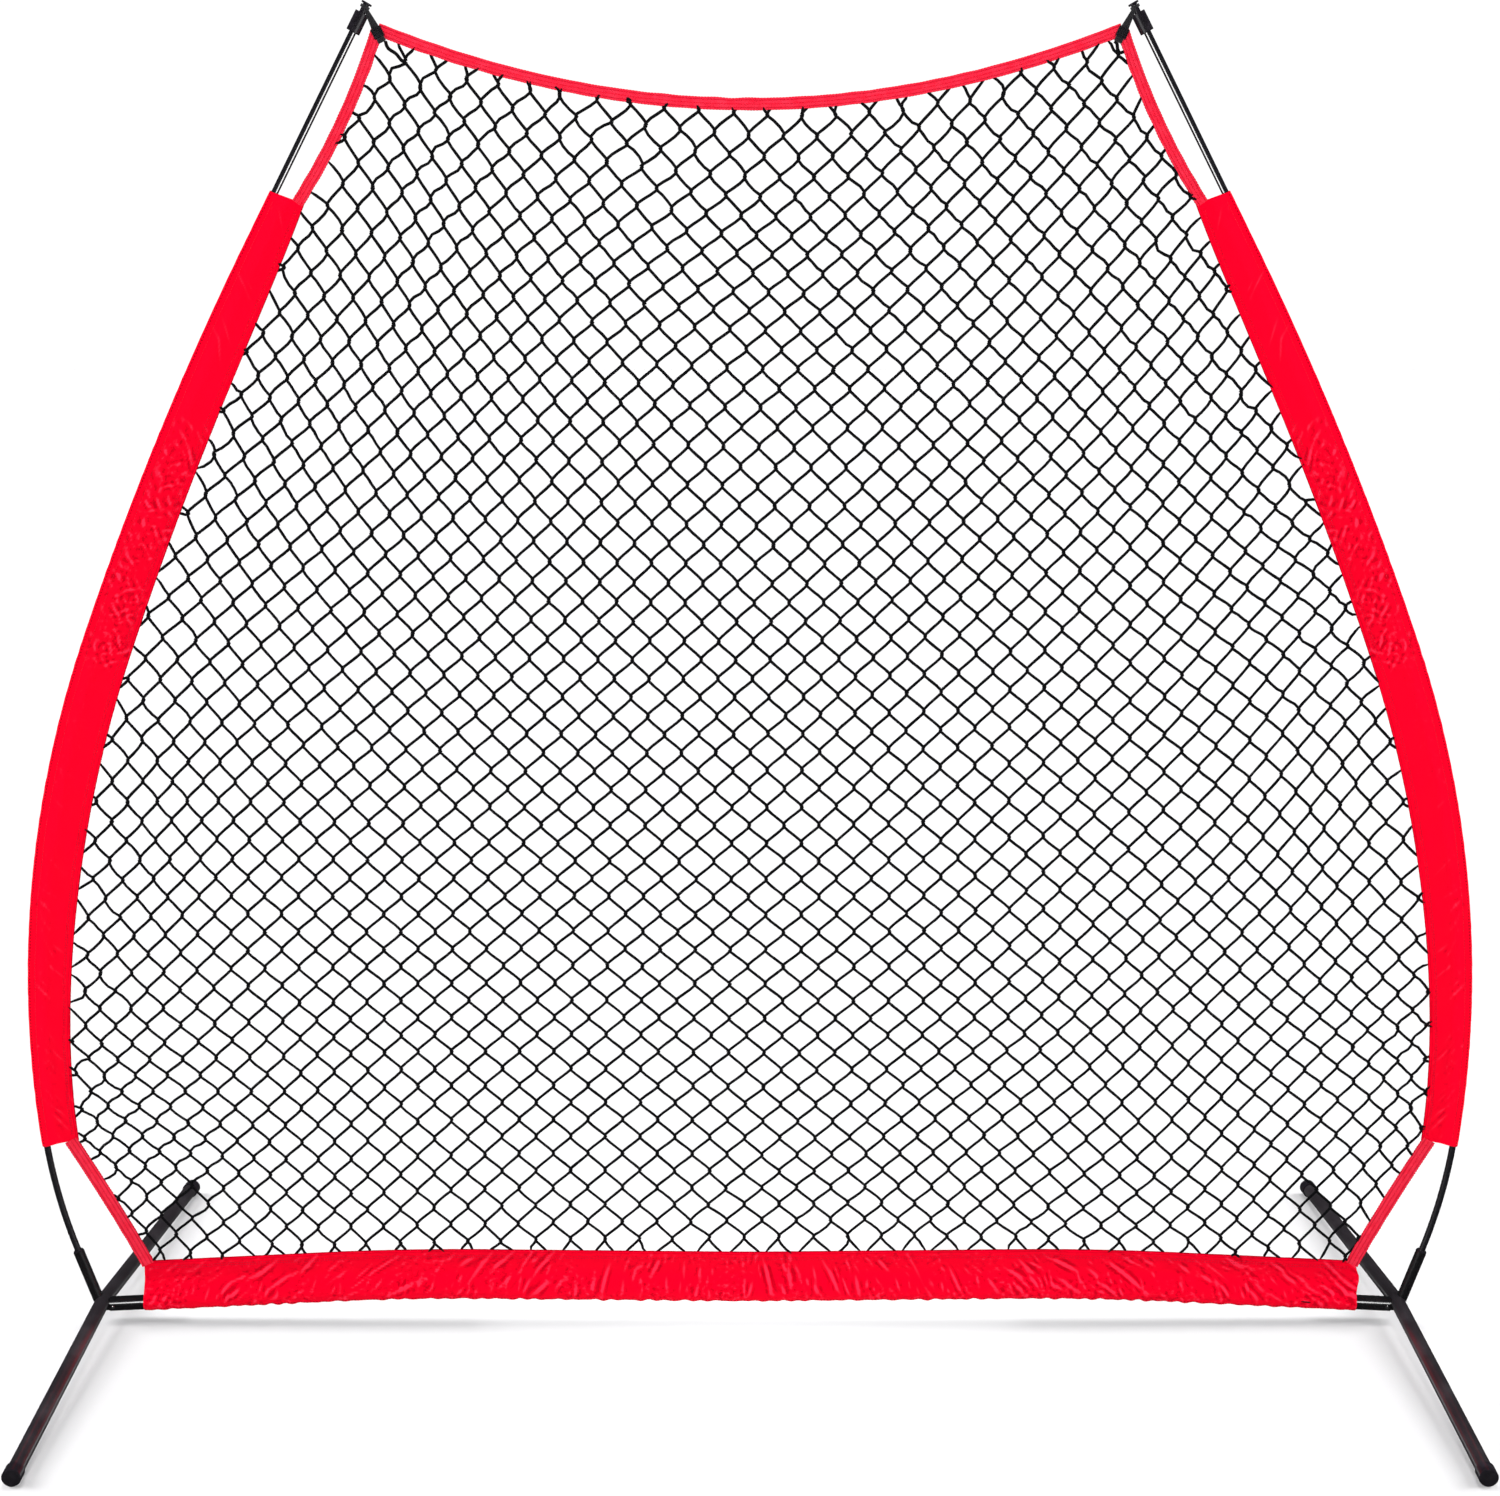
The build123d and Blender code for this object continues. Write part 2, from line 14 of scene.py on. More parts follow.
import bpy
import numpy as np
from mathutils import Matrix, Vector

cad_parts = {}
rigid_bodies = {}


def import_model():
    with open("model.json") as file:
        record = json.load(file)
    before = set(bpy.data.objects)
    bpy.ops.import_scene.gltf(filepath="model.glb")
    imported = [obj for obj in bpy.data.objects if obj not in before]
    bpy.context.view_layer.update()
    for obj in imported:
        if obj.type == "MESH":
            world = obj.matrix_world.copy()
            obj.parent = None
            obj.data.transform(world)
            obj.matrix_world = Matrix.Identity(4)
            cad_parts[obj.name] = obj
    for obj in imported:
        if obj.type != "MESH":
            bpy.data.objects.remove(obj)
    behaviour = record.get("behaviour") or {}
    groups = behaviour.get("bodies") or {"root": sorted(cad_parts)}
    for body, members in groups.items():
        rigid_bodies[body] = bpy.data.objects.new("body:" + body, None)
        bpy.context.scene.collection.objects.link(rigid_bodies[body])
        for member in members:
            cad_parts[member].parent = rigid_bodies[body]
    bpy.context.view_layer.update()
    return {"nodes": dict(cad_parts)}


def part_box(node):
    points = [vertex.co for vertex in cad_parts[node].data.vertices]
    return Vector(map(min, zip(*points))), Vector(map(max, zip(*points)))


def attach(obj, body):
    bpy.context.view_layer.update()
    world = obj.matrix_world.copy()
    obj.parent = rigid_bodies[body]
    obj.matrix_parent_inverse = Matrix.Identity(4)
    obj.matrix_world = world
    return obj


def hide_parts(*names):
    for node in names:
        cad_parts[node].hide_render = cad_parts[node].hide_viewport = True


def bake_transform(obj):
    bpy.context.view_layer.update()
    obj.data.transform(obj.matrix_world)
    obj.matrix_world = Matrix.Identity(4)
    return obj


for leftover in list(bpy.data.objects):
    bpy.data.objects.remove(leftover)
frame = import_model()
nodes = frame["nodes"]
hands = (("left", -1), ("right", 1))

# %% [markdown]
# ## Lines that everything hangs on
# The pole and the crossbar are chains of straight runs and arcs that meet tangentially. One class
# answers for a whole array of distances at once where the line is and which way it heads, so a
# sleeve of thousands of points needs no loop. An arc's chord of length a turns by half of its bend,
# so a point is the run's start plus a * sinc(bend * a / 2) along that mean heading.

# %% A tangent line in the net's plane


class TangentLine:
    """Straight runs and arcs in the XZ plane, measured along themselves in metres."""

    def __init__(self, start, heading, runs):
        """runs holds (length, turn in degrees), anticlockwise as seen from the front."""
        self.first = np.zeros(len(runs))
        self.start = np.zeros((len(runs), 2))
        self.heading = np.zeros(len(runs))
        self.bend = np.array([math.radians(turn) / length for length, turn in runs])
        x, z = start
        angle = math.radians(heading)
        total = 0.0
        for i, (length, turn) in enumerate(runs):
            self.first[i] = total
            self.start[i] = (x, z)
            self.heading[i] = angle
            mean = angle + math.radians(turn) / 2
            chord = length * np.sinc(math.radians(turn) / 2 / math.pi)
            x += chord * math.cos(mean)
            z += chord * math.sin(mean)
            angle += math.radians(turn)
            total += length
        self.length = total

    def at(self, along):
        """Points (x, z) and headings at distances along the line."""
        along = np.asarray(along, float)
        run = np.clip(np.searchsorted(self.first, along, side="right") - 1, 0, len(self.first) - 1)
        ahead = along - self.first[run]
        turn = self.bend[run] * ahead
        chord = ahead * np.sinc(turn / 2 / np.pi)
        mean = self.heading[run] + turn / 2
        points = self.start[run] + np.stack([np.cos(mean), np.sin(mean)], -1) * chord[..., None]
        return points, self.heading[run] + turn

    def beside(self, along, offset):
        """Points (x, z) to the left of the line, which is the net's side of a right-hand pole."""
        points, heading = self.at(along)
        left = np.stack([-np.sin(heading), np.cos(heading)], -1)
        return points + left * np.asarray(offset, float)[..., None]


def bow(radius, turn):
    """A run that turns by degrees at a radius in metres."""
    return radius * math.radians(abs(turn)), turn


pole = TangentLine(
    (0.996, 0.032),
    72.5,
    [(0.086, 0.0), bow(0.840, 13.3), bow(1.680, 25.9), bow(4.780, 7.3), (0.360, 0.0)],
)
bar = TangentLine(
    (0.0, 0.045), 0.0, [bow(5.0, 0.6), (0.350, 0.0), bow(3.930, -3.5), (0.350, 0.0)]
)
cap_top = pole.length - 0.0148
tip, tip_heading = pole.at(cap_top)
print(f"the pole's line is {pole.length:.4f} m long and its cap's top is at {tip.round(4)}")

# %% [markdown]
# ## Meshes from arrays
# Every soft piece is a family of closed rings carried along a path. Its faces are the same quads
# each time, so one helper works out the table of faces from the number of rings and sides, closes
# the ends with a ladder of quads, and writes points, faces and a UV map straight into the mesh.

# %% Faces of a tube of rings


def tube_faces(rings, sides, capped=True):
    """Quads between neighbouring rings. A cap pairs side k with side n-1-k, so it has quads too."""
    ring = np.arange(rings - 1)[:, None] * sides
    side = np.arange(sides)[None, :]
    after = (side + 1) % sides
    walls = np.stack([ring + side, ring + after, ring + sides + after, ring + sides + side], -1)
    faces = [walls.reshape(-1, 4)]
    if capped:
        k = np.arange((sides - 2) // 2)
        ladder = np.stack([k, k + 1, sides - 2 - k, sides - 1 - k], -1)
        faces += [ladder[:, ::-1], ladder + (rings - 1) * sides]
    return np.concatenate(faces)


def tube_uvs(along, around, capped=True):
    """A UV pair for each corner of tube_faces: (distance around, distance along)."""
    low, high = along[:-1, None], along[1:, None]
    left, right = around[None, :-1], around[None, 1:]
    corners = [(left, low), (right, low), (right, high), (left, high)]
    shape = (len(along) - 1, len(around) - 1)
    walls = np.stack(
        [np.stack([np.broadcast_to(u, shape), np.broadcast_to(v, shape)], -1) for u, v in corners], -2
    )
    made = [walls.reshape(-1, 2)]
    if capped:
        sides = len(around) - 1
        k = np.arange((sides - 2) // 2)
        ladder = np.stack([k, k + 1, sides - 2 - k, sides - 1 - k], -1)
        first = np.stack([around[ladder[:, ::-1]], np.full((len(k), 4), along[0])], -1)
        last = np.stack([around[ladder], np.full((len(k), 4), along[-1])], -1)
        made += [first.reshape(-1, 2), last.reshape(-1, 2)]
    return np.concatenate(made)


def new_piece(name, points, faces, uvs=None, marks=None, body="root"):
    """An object at the origin with these points (n, 3), quads (m, 4), UVs (4m, 2) and marks {name: (n,)}."""
    mesh = bpy.data.meshes.new(name)
    mesh.vertices.add(len(points))
    mesh.vertices.foreach_set("co", np.ascontiguousarray(points, np.float32).ravel())
    mesh.loops.add(faces.size)
    mesh.loops.foreach_set("vertex_index", np.ascontiguousarray(faces, np.int32).ravel())
    mesh.polygons.add(len(faces))
    mesh.polygons.foreach_set("loop_start", np.arange(0, faces.size, 4, dtype=np.int32))
    mesh.polygons.foreach_set("use_smooth", np.ones(len(faces), bool))
    if uvs is not None:
        layer = mesh.uv_layers.new(name="cloth")
        layer.uv.foreach_set("vector", np.ascontiguousarray(uvs, np.float32).ravel())
    for mark, values in (marks or {}).items():
        layer = mesh.attributes.new(mark, "FLOAT", "POINT")
        layer.data.foreach_set("value", np.ascontiguousarray(values, np.float32).ravel())
    mesh.update(calc_edges=True)
    piece = bpy.data.objects.new(name, mesh)
    bpy.context.scene.collection.objects.link(piece)
    if body:
        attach(piece, body)
    return piece


def turned_over(faces, uvs):
    """The same quads facing the other way, each with its UVs in the same new order."""
    if uvs is not None:
        uvs = uvs.reshape(-1, 4, 2)[:, ::-1].reshape(-1, 2)
    return faces[:, ::-1], uvs


def pair(name, points, faces, uvs=None, flip=False, marks=None, body="root"):
    """A right-hand piece and its mirror in the YZ plane. Mirroring turns the faces, so they turn back."""
    made = {}
    for side, sign in reversed(hands):
        quads, corners = turned_over(faces, uvs) if (sign < 0) != flip else (faces, uvs)
        made[side] = new_piece(f"{side}_{name}", points * [sign, 1, 1], quads, corners, marks, body)
    return made


def smooth(value):
    """An even S between 0 and 1: 3t^2 - 2t^3, held flat outside."""
    t = np.clip(value, 0, 1)
    return t * t * (3 - 2 * t)


def reached(steps):
    """The distance gone at each point, from 0, by the lengths of the steps between them."""
    return np.concatenate([[0], np.cumsum(steps)])


def ripple(seed, along, across, length, width, waves=14):
    """Soft seeded noise of about unit size: a sum of sines whose crests are length by width apart."""
    dice = np.random.default_rng(seed)
    total = np.zeros(np.broadcast(along, across).shape)
    for _ in range(waves):
        a = dice.uniform(0.6, 1.6) * 2 * np.pi / length * dice.choice([-1, 1])
        b = dice.uniform(0.3, 1.4) * 2 * np.pi / width * dice.choice([-1, 1])
        total = total + np.sin(a * along + b * across + dice.uniform(0, 2 * np.pi))
    return total / math.sqrt(waves / 2)


print("helpers ready, smooth(0.5) is", float(smooth(0.5)))

# %% [markdown]
# ## The sleeves' and bindings' lines
# A side sleeve runs along the pole from its lower to its upper end, and its seam with the net lies
# 41 to 64 mm further in. The bottom sleeve does the same over the crossbar. Straps of webbing close
# the gaps: one along the net's top, one from each upper corner to a side sleeve, and one from each
# side sleeve down to the bottom sleeve. Their middle lines are set here once, for the right side.

# %% Sleeve seams and binding lines
sleeve_ends = (0.263, 1.730)
seam_ends = (0.267, 1.737)
seam_widths = np.array([49.0, 58.0, 64.0, 62.0, 57.0, 41.5]) / 1000
seam_curve = np.polyfit(np.linspace(0, 1, 6), seam_widths, 5)
bottom_end = 0.9260
bottom_height = 0.068
corner_below_cap = 0.0077
corner_inward = 0.0340
outline_step = 0.002


def seam_width(share):
    """Distance from the pole's axis to the seam, at a share of the sleeve's length."""
    return np.polyval(seam_curve, share)


def cross(points):
    """Unit vectors to the left of a line of (x, z) points."""
    way = np.gradient(points, axis=0)
    way /= np.linalg.norm(way, axis=1)[:, None]
    return np.stack([-way[:, 1], way[:, 0]], -1)


def arc_between(start, end, height, count):
    """A flat bow through two points: the chord plus height * (1 - (2t - 1)^2) to its left."""
    t = np.linspace(0, 1, count)[:, None]
    way = np.asarray(end) - np.asarray(start)
    left = np.array([-way[1], way[0]]) / np.linalg.norm(way)
    return start + way * t + left * height * (1 - (2 * t - 1) ** 2)


corner = pole.beside(cap_top - corner_below_cap, corner_inward)
seam_top = pole.beside(seam_ends[1], seam_widths[-1] - 0.008)
seam_low = pole.beside(seam_ends[0], seam_widths[0] - 0.012)
low_corner = bar.beside(bottom_end - 0.0093, bottom_height)
t = np.linspace(-1, 1, 481)
top_line = np.stack([t * corner[0], corner[1] - 0.093 * (1 - t**2)], -1)
upper_line = arc_between(corner + [0.0080, -0.0010], seam_top, -0.0080, 160)
lower_line = arc_between(seam_low, low_corner, -0.0020, 140)
seam_share = np.linspace(0, 1, 700)
seam_line = pole.beside(seam_ends[0] + (seam_ends[1] - seam_ends[0]) * seam_share, seam_width(seam_share))
bottom_line = bar.beside(np.linspace(0, bottom_end, 460), bottom_height)
print("upper corner", corner.round(4), "lower corner", low_corner.round(4))

# %% [markdown]
# ## The net's outline
# The net fills the space inside all these edges. Neighbouring edges are cut where they meet, and
# the right half is mirrored into one closed outline with a point about every 2 mm.

# %% A closed outline of the net


def meet(first, second):
    """Two lines joined where they come closest."""
    gap = np.linalg.norm(first[:, None] - second[None], axis=2)
    i, j = np.unravel_index(np.argmin(gap), gap.shape)
    return np.concatenate([first[: i + 1], second[j:]])


upper_edge = upper_line - cross(upper_line) * 0.007
lower_edge = lower_line - cross(lower_line) * 0.009
top_edge = top_line - cross(top_line) * 0.007
outline = meet(bottom_line, lower_edge[::-1])
outline = meet(outline, seam_line)
outline = meet(outline, upper_edge[::-1])
outline = meet(outline, top_edge[top_line[:, 0] >= 0][::-1])
outline = np.concatenate([outline, (outline * [-1, 1])[::-1][1:-1]])
steps = np.linalg.norm(np.roll(outline, -1, 0) - outline, axis=1)
reach = reached(steps)
rounds = np.arange(0, reach[-1], outline_step)
closed = np.concatenate([outline, outline[:1]])
outline = np.stack([np.interp(rounds, reach, closed[:, k]) for k in (0, 1)], -1)
outline_length = reach[-1]
print(f"outline of {len(outline)} points, {outline_length:.3f} m round")


def within(points):
    """Which points lie inside the outline: a ray to the right crosses it an odd number of times."""
    x, z = points[:, None, 0], points[:, None, 1]
    a, b = outline[None], np.roll(outline, -1, 0)[None]
    spans = (a[..., 1] > z) != (b[..., 1] > z)
    rise = np.where(b[..., 1] == a[..., 1], 1e-12, b[..., 1] - a[..., 1])
    hit = a[..., 0] + (z - a[..., 1]) * (b[..., 0] - a[..., 0]) / rise
    return (spans & (x < hit)).sum(1) % 2 == 1


# %% [markdown]
# ## The net, knot by knot
# A diamond net is two families of twines. One family runs down to the right, the other down to the
# left, and wherever they cross they are bound together over a few millimetres. A single bent grid
# would look too even: the real net is hung by its edges, so the rows sag with the top binding, the
# columns fan outward, and every twine is a little longer than the straight line between two knots.
# So the knots first get places from a smooth map: a regular lattice, sagged and narrowed as above,
# and then tugged here and there, where the sewing gathers it. Each tug moves the knots round one
# column and row by a short way, and fades as exp(-distance squared). After that the outline cuts
# the twines, and a few hundred rounds of relaxing bring the strands near their own lengths.

# %% Knots on a smooth map
strand = 0.0398
span = np.arange(-26, 60)
down_right, down_left = np.meshgrid(span, span, indexing="ij")
columns = (down_right - down_left) / 2
rows = (down_right + down_left) / 2
depth = (rows - 0.5) / 32
cell_width = 0.0456 + 0.0078 * depth
narrowing = (0.62 - 0.31 * depth) * 1e-5
middle_x = 0.020 - 0.124 * depth + 0.069 * depth**2
flank_pull = 0.016 * np.cos(2 * np.pi * (rows - 5.5) / 24) * (columns / 15) ** 3
knot_x = middle_x + cell_width * columns - narrowing * columns**3 - flank_pull
row_sag = (3.45 - 5.80 * depth + 2.32 * depth**2) * 1e-4
row_tilt = (-0.2 + 1.45 * depth) * 1e-3
knot_z = 1.756 - 0.0540 * (rows - 0.5) + row_tilt * columns + row_sag * columns**2
for column, row, wide, high, pull_x, pull_z in (
    (-17, 7, 6, 5, 0.021, 0.002),
    (-12, 2, 3, 5, 0.010, 0.016),
    (-15, 5, 4, 4, 0.003, -0.010),
    (-3.5, 6.5, 5, 5, -0.011, 0.010),
    (1, 1, 5, 4, 0.003, -0.014),
    (12, 6, 6, 5, 0.007, 0.000),
    (-20, 18.5, 4, 4, 0.034, -0.014),
    (20, 18.5, 3.5, 4, -0.030, 0.008),
    (17.5, 15.5, 3.5, 4, 0.004, 0.024),
    (-18, 24.5, 3.5, 4, -0.014, -0.011),
    (6, 23, 6, 5, 0.009, -0.004),
    (-6, 26, 6, 5, 0.000, 0.009),
    (-18, 30, 3.5, 4, 0.004, 0.032),
    (19.5, 27.5, 4, 3, 0.022, 0.016),
    (13, 29.5, 4, 4, 0.009, -0.021),
    (9, 30, 4, 3, -0.012, -0.004),
):
    tug = np.exp(-(((columns - column) / wide) ** 2) - ((rows - row) / high) ** 2)
    knot_x += pull_x * tug
    knot_z += pull_z * tug
knots = np.stack([knot_x, knot_z], -1)
tidy = (np.abs(columns) <= 24) & (rows > -6)
inside = np.zeros(knots.shape[:2], bool)
inside[tidy] = within(knots[tidy])
number = np.full(inside.shape, -1)
number[inside] = np.arange(inside.sum())
print(int(inside.sum()), "knots inside the outline")


# %% Strands, and where the outline cuts them


def strands_of(step):
    """Whole strands as (upper, lower) knot numbers, and cut ones as (knot, out of reach point, sign)."""
    lower = np.roll(number, (-step[0], -step[1]), (0, 1))
    beyond = np.roll(knots, (-step[0], -step[1]), (0, 1))
    before = np.roll(knots, step, (0, 1))
    above = np.roll(number, step, (0, 1))
    whole = (number >= 0) & (lower >= 0)
    leaves = (number >= 0) & (lower < 0)
    enters = (number >= 0) & (above < 0)
    return (
        np.stack([number[whole], lower[whole]], -1),
        np.concatenate([number[leaves], number[enters]]),
        np.concatenate([beyond[leaves], before[enters]]),
        np.concatenate([np.ones(leaves.sum()), -np.ones(enters.sum())]),
    )


def cut(inner, outer):
    """The point of each strand on the outline, by halving the interval twenty times."""
    low, high = np.zeros(len(inner)), np.ones(len(inner))
    for _ in range(20):
        middle = (low + high) / 2
        is_in = within(inner + (outer - inner) * middle[:, None])
        low = np.where(is_in, middle, low)
        high = np.where(is_in, high, middle)
    return low


def anchored(share_cut, inner, outer, seed):
    """Where cut strands are sewn in: the crossing, shifted along the outline by uneven sewing."""
    crossing = inner + (outer - inner) * share_cut[:, None]
    nearest = np.argmin(np.linalg.norm(crossing[:, None] - outline[None], axis=2), 1)
    along = rounds[nearest]
    turns = 2 * np.pi * along / outline_length
    dice = np.random.default_rng(seed)
    shift = np.zeros(len(along))
    for waves, size in ((17, 0.003), (29, 0.003), (47, 0.003), (71, 0.003)):
        shift += size * np.sin(waves * turns + dice.uniform(0, 2 * np.pi))
    shift += dice.normal(0, 0.002, len(along))
    place = (nearest + np.round(shift / outline_step).astype(int)) % len(outline)
    way = np.roll(outline, -3, 0)[place] - np.roll(outline, 3, 0)[place]
    way /= np.linalg.norm(way, axis=1)[:, None]
    outward = np.stack([way[:, 1], -way[:, 0]], -1)
    return outline[place] + outward * 0.004


families = {}
flat_knots = knots[inside]
for family, step in (("rightward", (1, 0)), ("leftward", (0, 1))):
    whole, cut_knots, outer, sign = strands_of(step)
    share_cut = cut(flat_knots[cut_knots], outer)
    ends = anchored(share_cut, flat_knots[cut_knots], outer, 11)
    families[family] = dict(whole=whole, cut=cut_knots, ends=ends, sign=sign, share=share_cut)
    print(family, len(whole), "whole strands,", len(cut_knots), "sewn ends")

# %% Relax the net between its sewn ends


def relax(place, rounds_of_pull):
    """Pulls knots together along strands longer than their twine, and apart along much shorter ones.

    Each pull is a share of the excess length, so strands end near their own length, not exactly at it."""
    dice = np.random.default_rng(5)
    home = place.copy()
    whole = np.concatenate([f["whole"] for f in families.values()])
    cut_knots = np.concatenate([f["cut"] for f in families.values()])
    ends = np.concatenate([f["ends"] for f in families.values()])
    rest = np.linalg.norm(home[whole[:, 1]] - home[whole[:, 0]], axis=1)
    rest = np.clip(rest * 1.01, 0.0300, 0.0396) * (1 + dice.normal(0, 0.008, len(whole)))
    rest_cut = strand * np.clip(np.concatenate([f["share"] for f in families.values()]), 0.12, 1) + 0.004
    place = place + dice.normal(0, 0.0008, place.shape)
    for _ in range(rounds_of_pull):
        push = np.zeros_like(place)
        gap = place[whole[:, 1]] - place[whole[:, 0]]
        long = np.linalg.norm(gap, axis=1)
        excess = np.maximum(long - rest, 0) + 0.5 * np.minimum(long - 0.93 * rest, 0)
        pull = gap / long[:, None] * excess[:, None] / 2
        np.add.at(push, whole[:, 0], pull)
        np.add.at(push, whole[:, 1], -pull)
        gap = ends - place[cut_knots]
        long = np.maximum(np.linalg.norm(gap, axis=1), 1e-6)
        excess = np.maximum(long - rest_cut, 0) + 0.6 * np.minimum(long - 0.80 * rest_cut, 0)
        np.add.at(push, cut_knots, gap / long[:, None] * excess[:, None])
        place = place + 0.45 * push + 0.020 * (home - place)
    return place


knot_place = relax(flat_knots, 300)
both = np.concatenate([f["whole"] for f in families.values()])
chords = np.linalg.norm(knot_place[both[:, 1]] - knot_place[both[:, 0]], axis=1)
print(f"strands {chords.min():.4f} to {chords.max():.4f} m between knots, mean {chords.mean():.4f}")

# %% [markdown]
# ## Twines as tubes
# Each twine leaves a knot heading straight down, swings out to the diagonal, and comes back to
# straight down at the next knot: a cubic Hermite curve with both end slopes along the net's columns
# has just that S. The slack of a strand makes its slopes longer, so loose strands wave more. Four
# rings lie between two knots and three at each knot, where the twines cross side by side. A ring
# has six sides, which is enough for a 4.2 mm twine, and keeps the whole net light.

# %% Carry a tube along every strand
twine_radius = 0.00212
knot_half = 0.0009
stations = np.array([0.13, 0.38, 0.62, 0.87])
sides = 6


def column_ways(place):
    """The unit vector down the net at each knot: the mean of its strands' directions."""
    way = np.zeros_like(place)
    for f in families.values():
        gap = place[f["whole"][:, 1]] - place[f["whole"][:, 0]]
        gap /= np.linalg.norm(gap, axis=1)[:, None]
        np.add.at(way, f["whole"][:, 0], gap)
        np.add.at(way, f["whole"][:, 1], gap)
        gap = (f["ends"] - place[f["cut"]]) * f["sign"][:, None]
        gap /= np.maximum(np.linalg.norm(gap, axis=1), 1e-6)[:, None]
        np.add.at(way, f["cut"], 0.6 * gap)
    return way / np.linalg.norm(way, axis=1)[:, None]


def hermite(t, start, slope_start, end, slope_end):
    """The cubic with these ends and slopes, at shares t of its length: rows of points."""
    t = t[None, :, None]
    return (
        (2 * t**3 - 3 * t**2 + 1) * start[:, None]
        + (t**3 - 2 * t**2 + t) * slope_start[:, None]
        + (3 * t**2 - 2 * t**3) * end[:, None]
        + (t**3 - t**2) * slope_end[:, None]
    )


def rings_round(centre, way, radius):
    """Rings of six points square to a way, centre + r (cos a * left - sin a * Y)."""
    way = way / np.linalg.norm(way, axis=-1, keepdims=True)
    left = np.stack([-way[..., 2], np.zeros(way.shape[:-1]), way[..., 0]], -1)
    left /= np.linalg.norm(left, axis=-1, keepdims=True)
    front = np.cross(left, -way)
    angle = np.arange(sides) * 2 * np.pi / sides
    out = np.cos(angle)[:, None] * left[..., None, :] + np.sin(angle)[:, None] * front[..., None, :]
    return centre[..., None, :] + out * radius[..., None, None]


def in_space(flat, y):
    """Net-plane points (x, z) at a depth y."""
    return np.stack([flat[..., 0], np.broadcast_to(y, flat.shape[:-1]), flat[..., 1]], -1)


down = column_ways(knot_place)
aside = np.stack([-down[:, 1], down[:, 0]], -1)
net_depth = 0.0016 * ripple(3, knot_place[:, 0], knot_place[:, 1], 0.6, 0.5)
edge_gap = np.min(np.linalg.norm(knot_place[:, None] - outline[None, ::5], axis=2), 1)
net_depth *= smooth(edge_gap / 0.12)
looseness = 0.05 + 0.13 * (1 - smooth(edge_gap / 0.16))


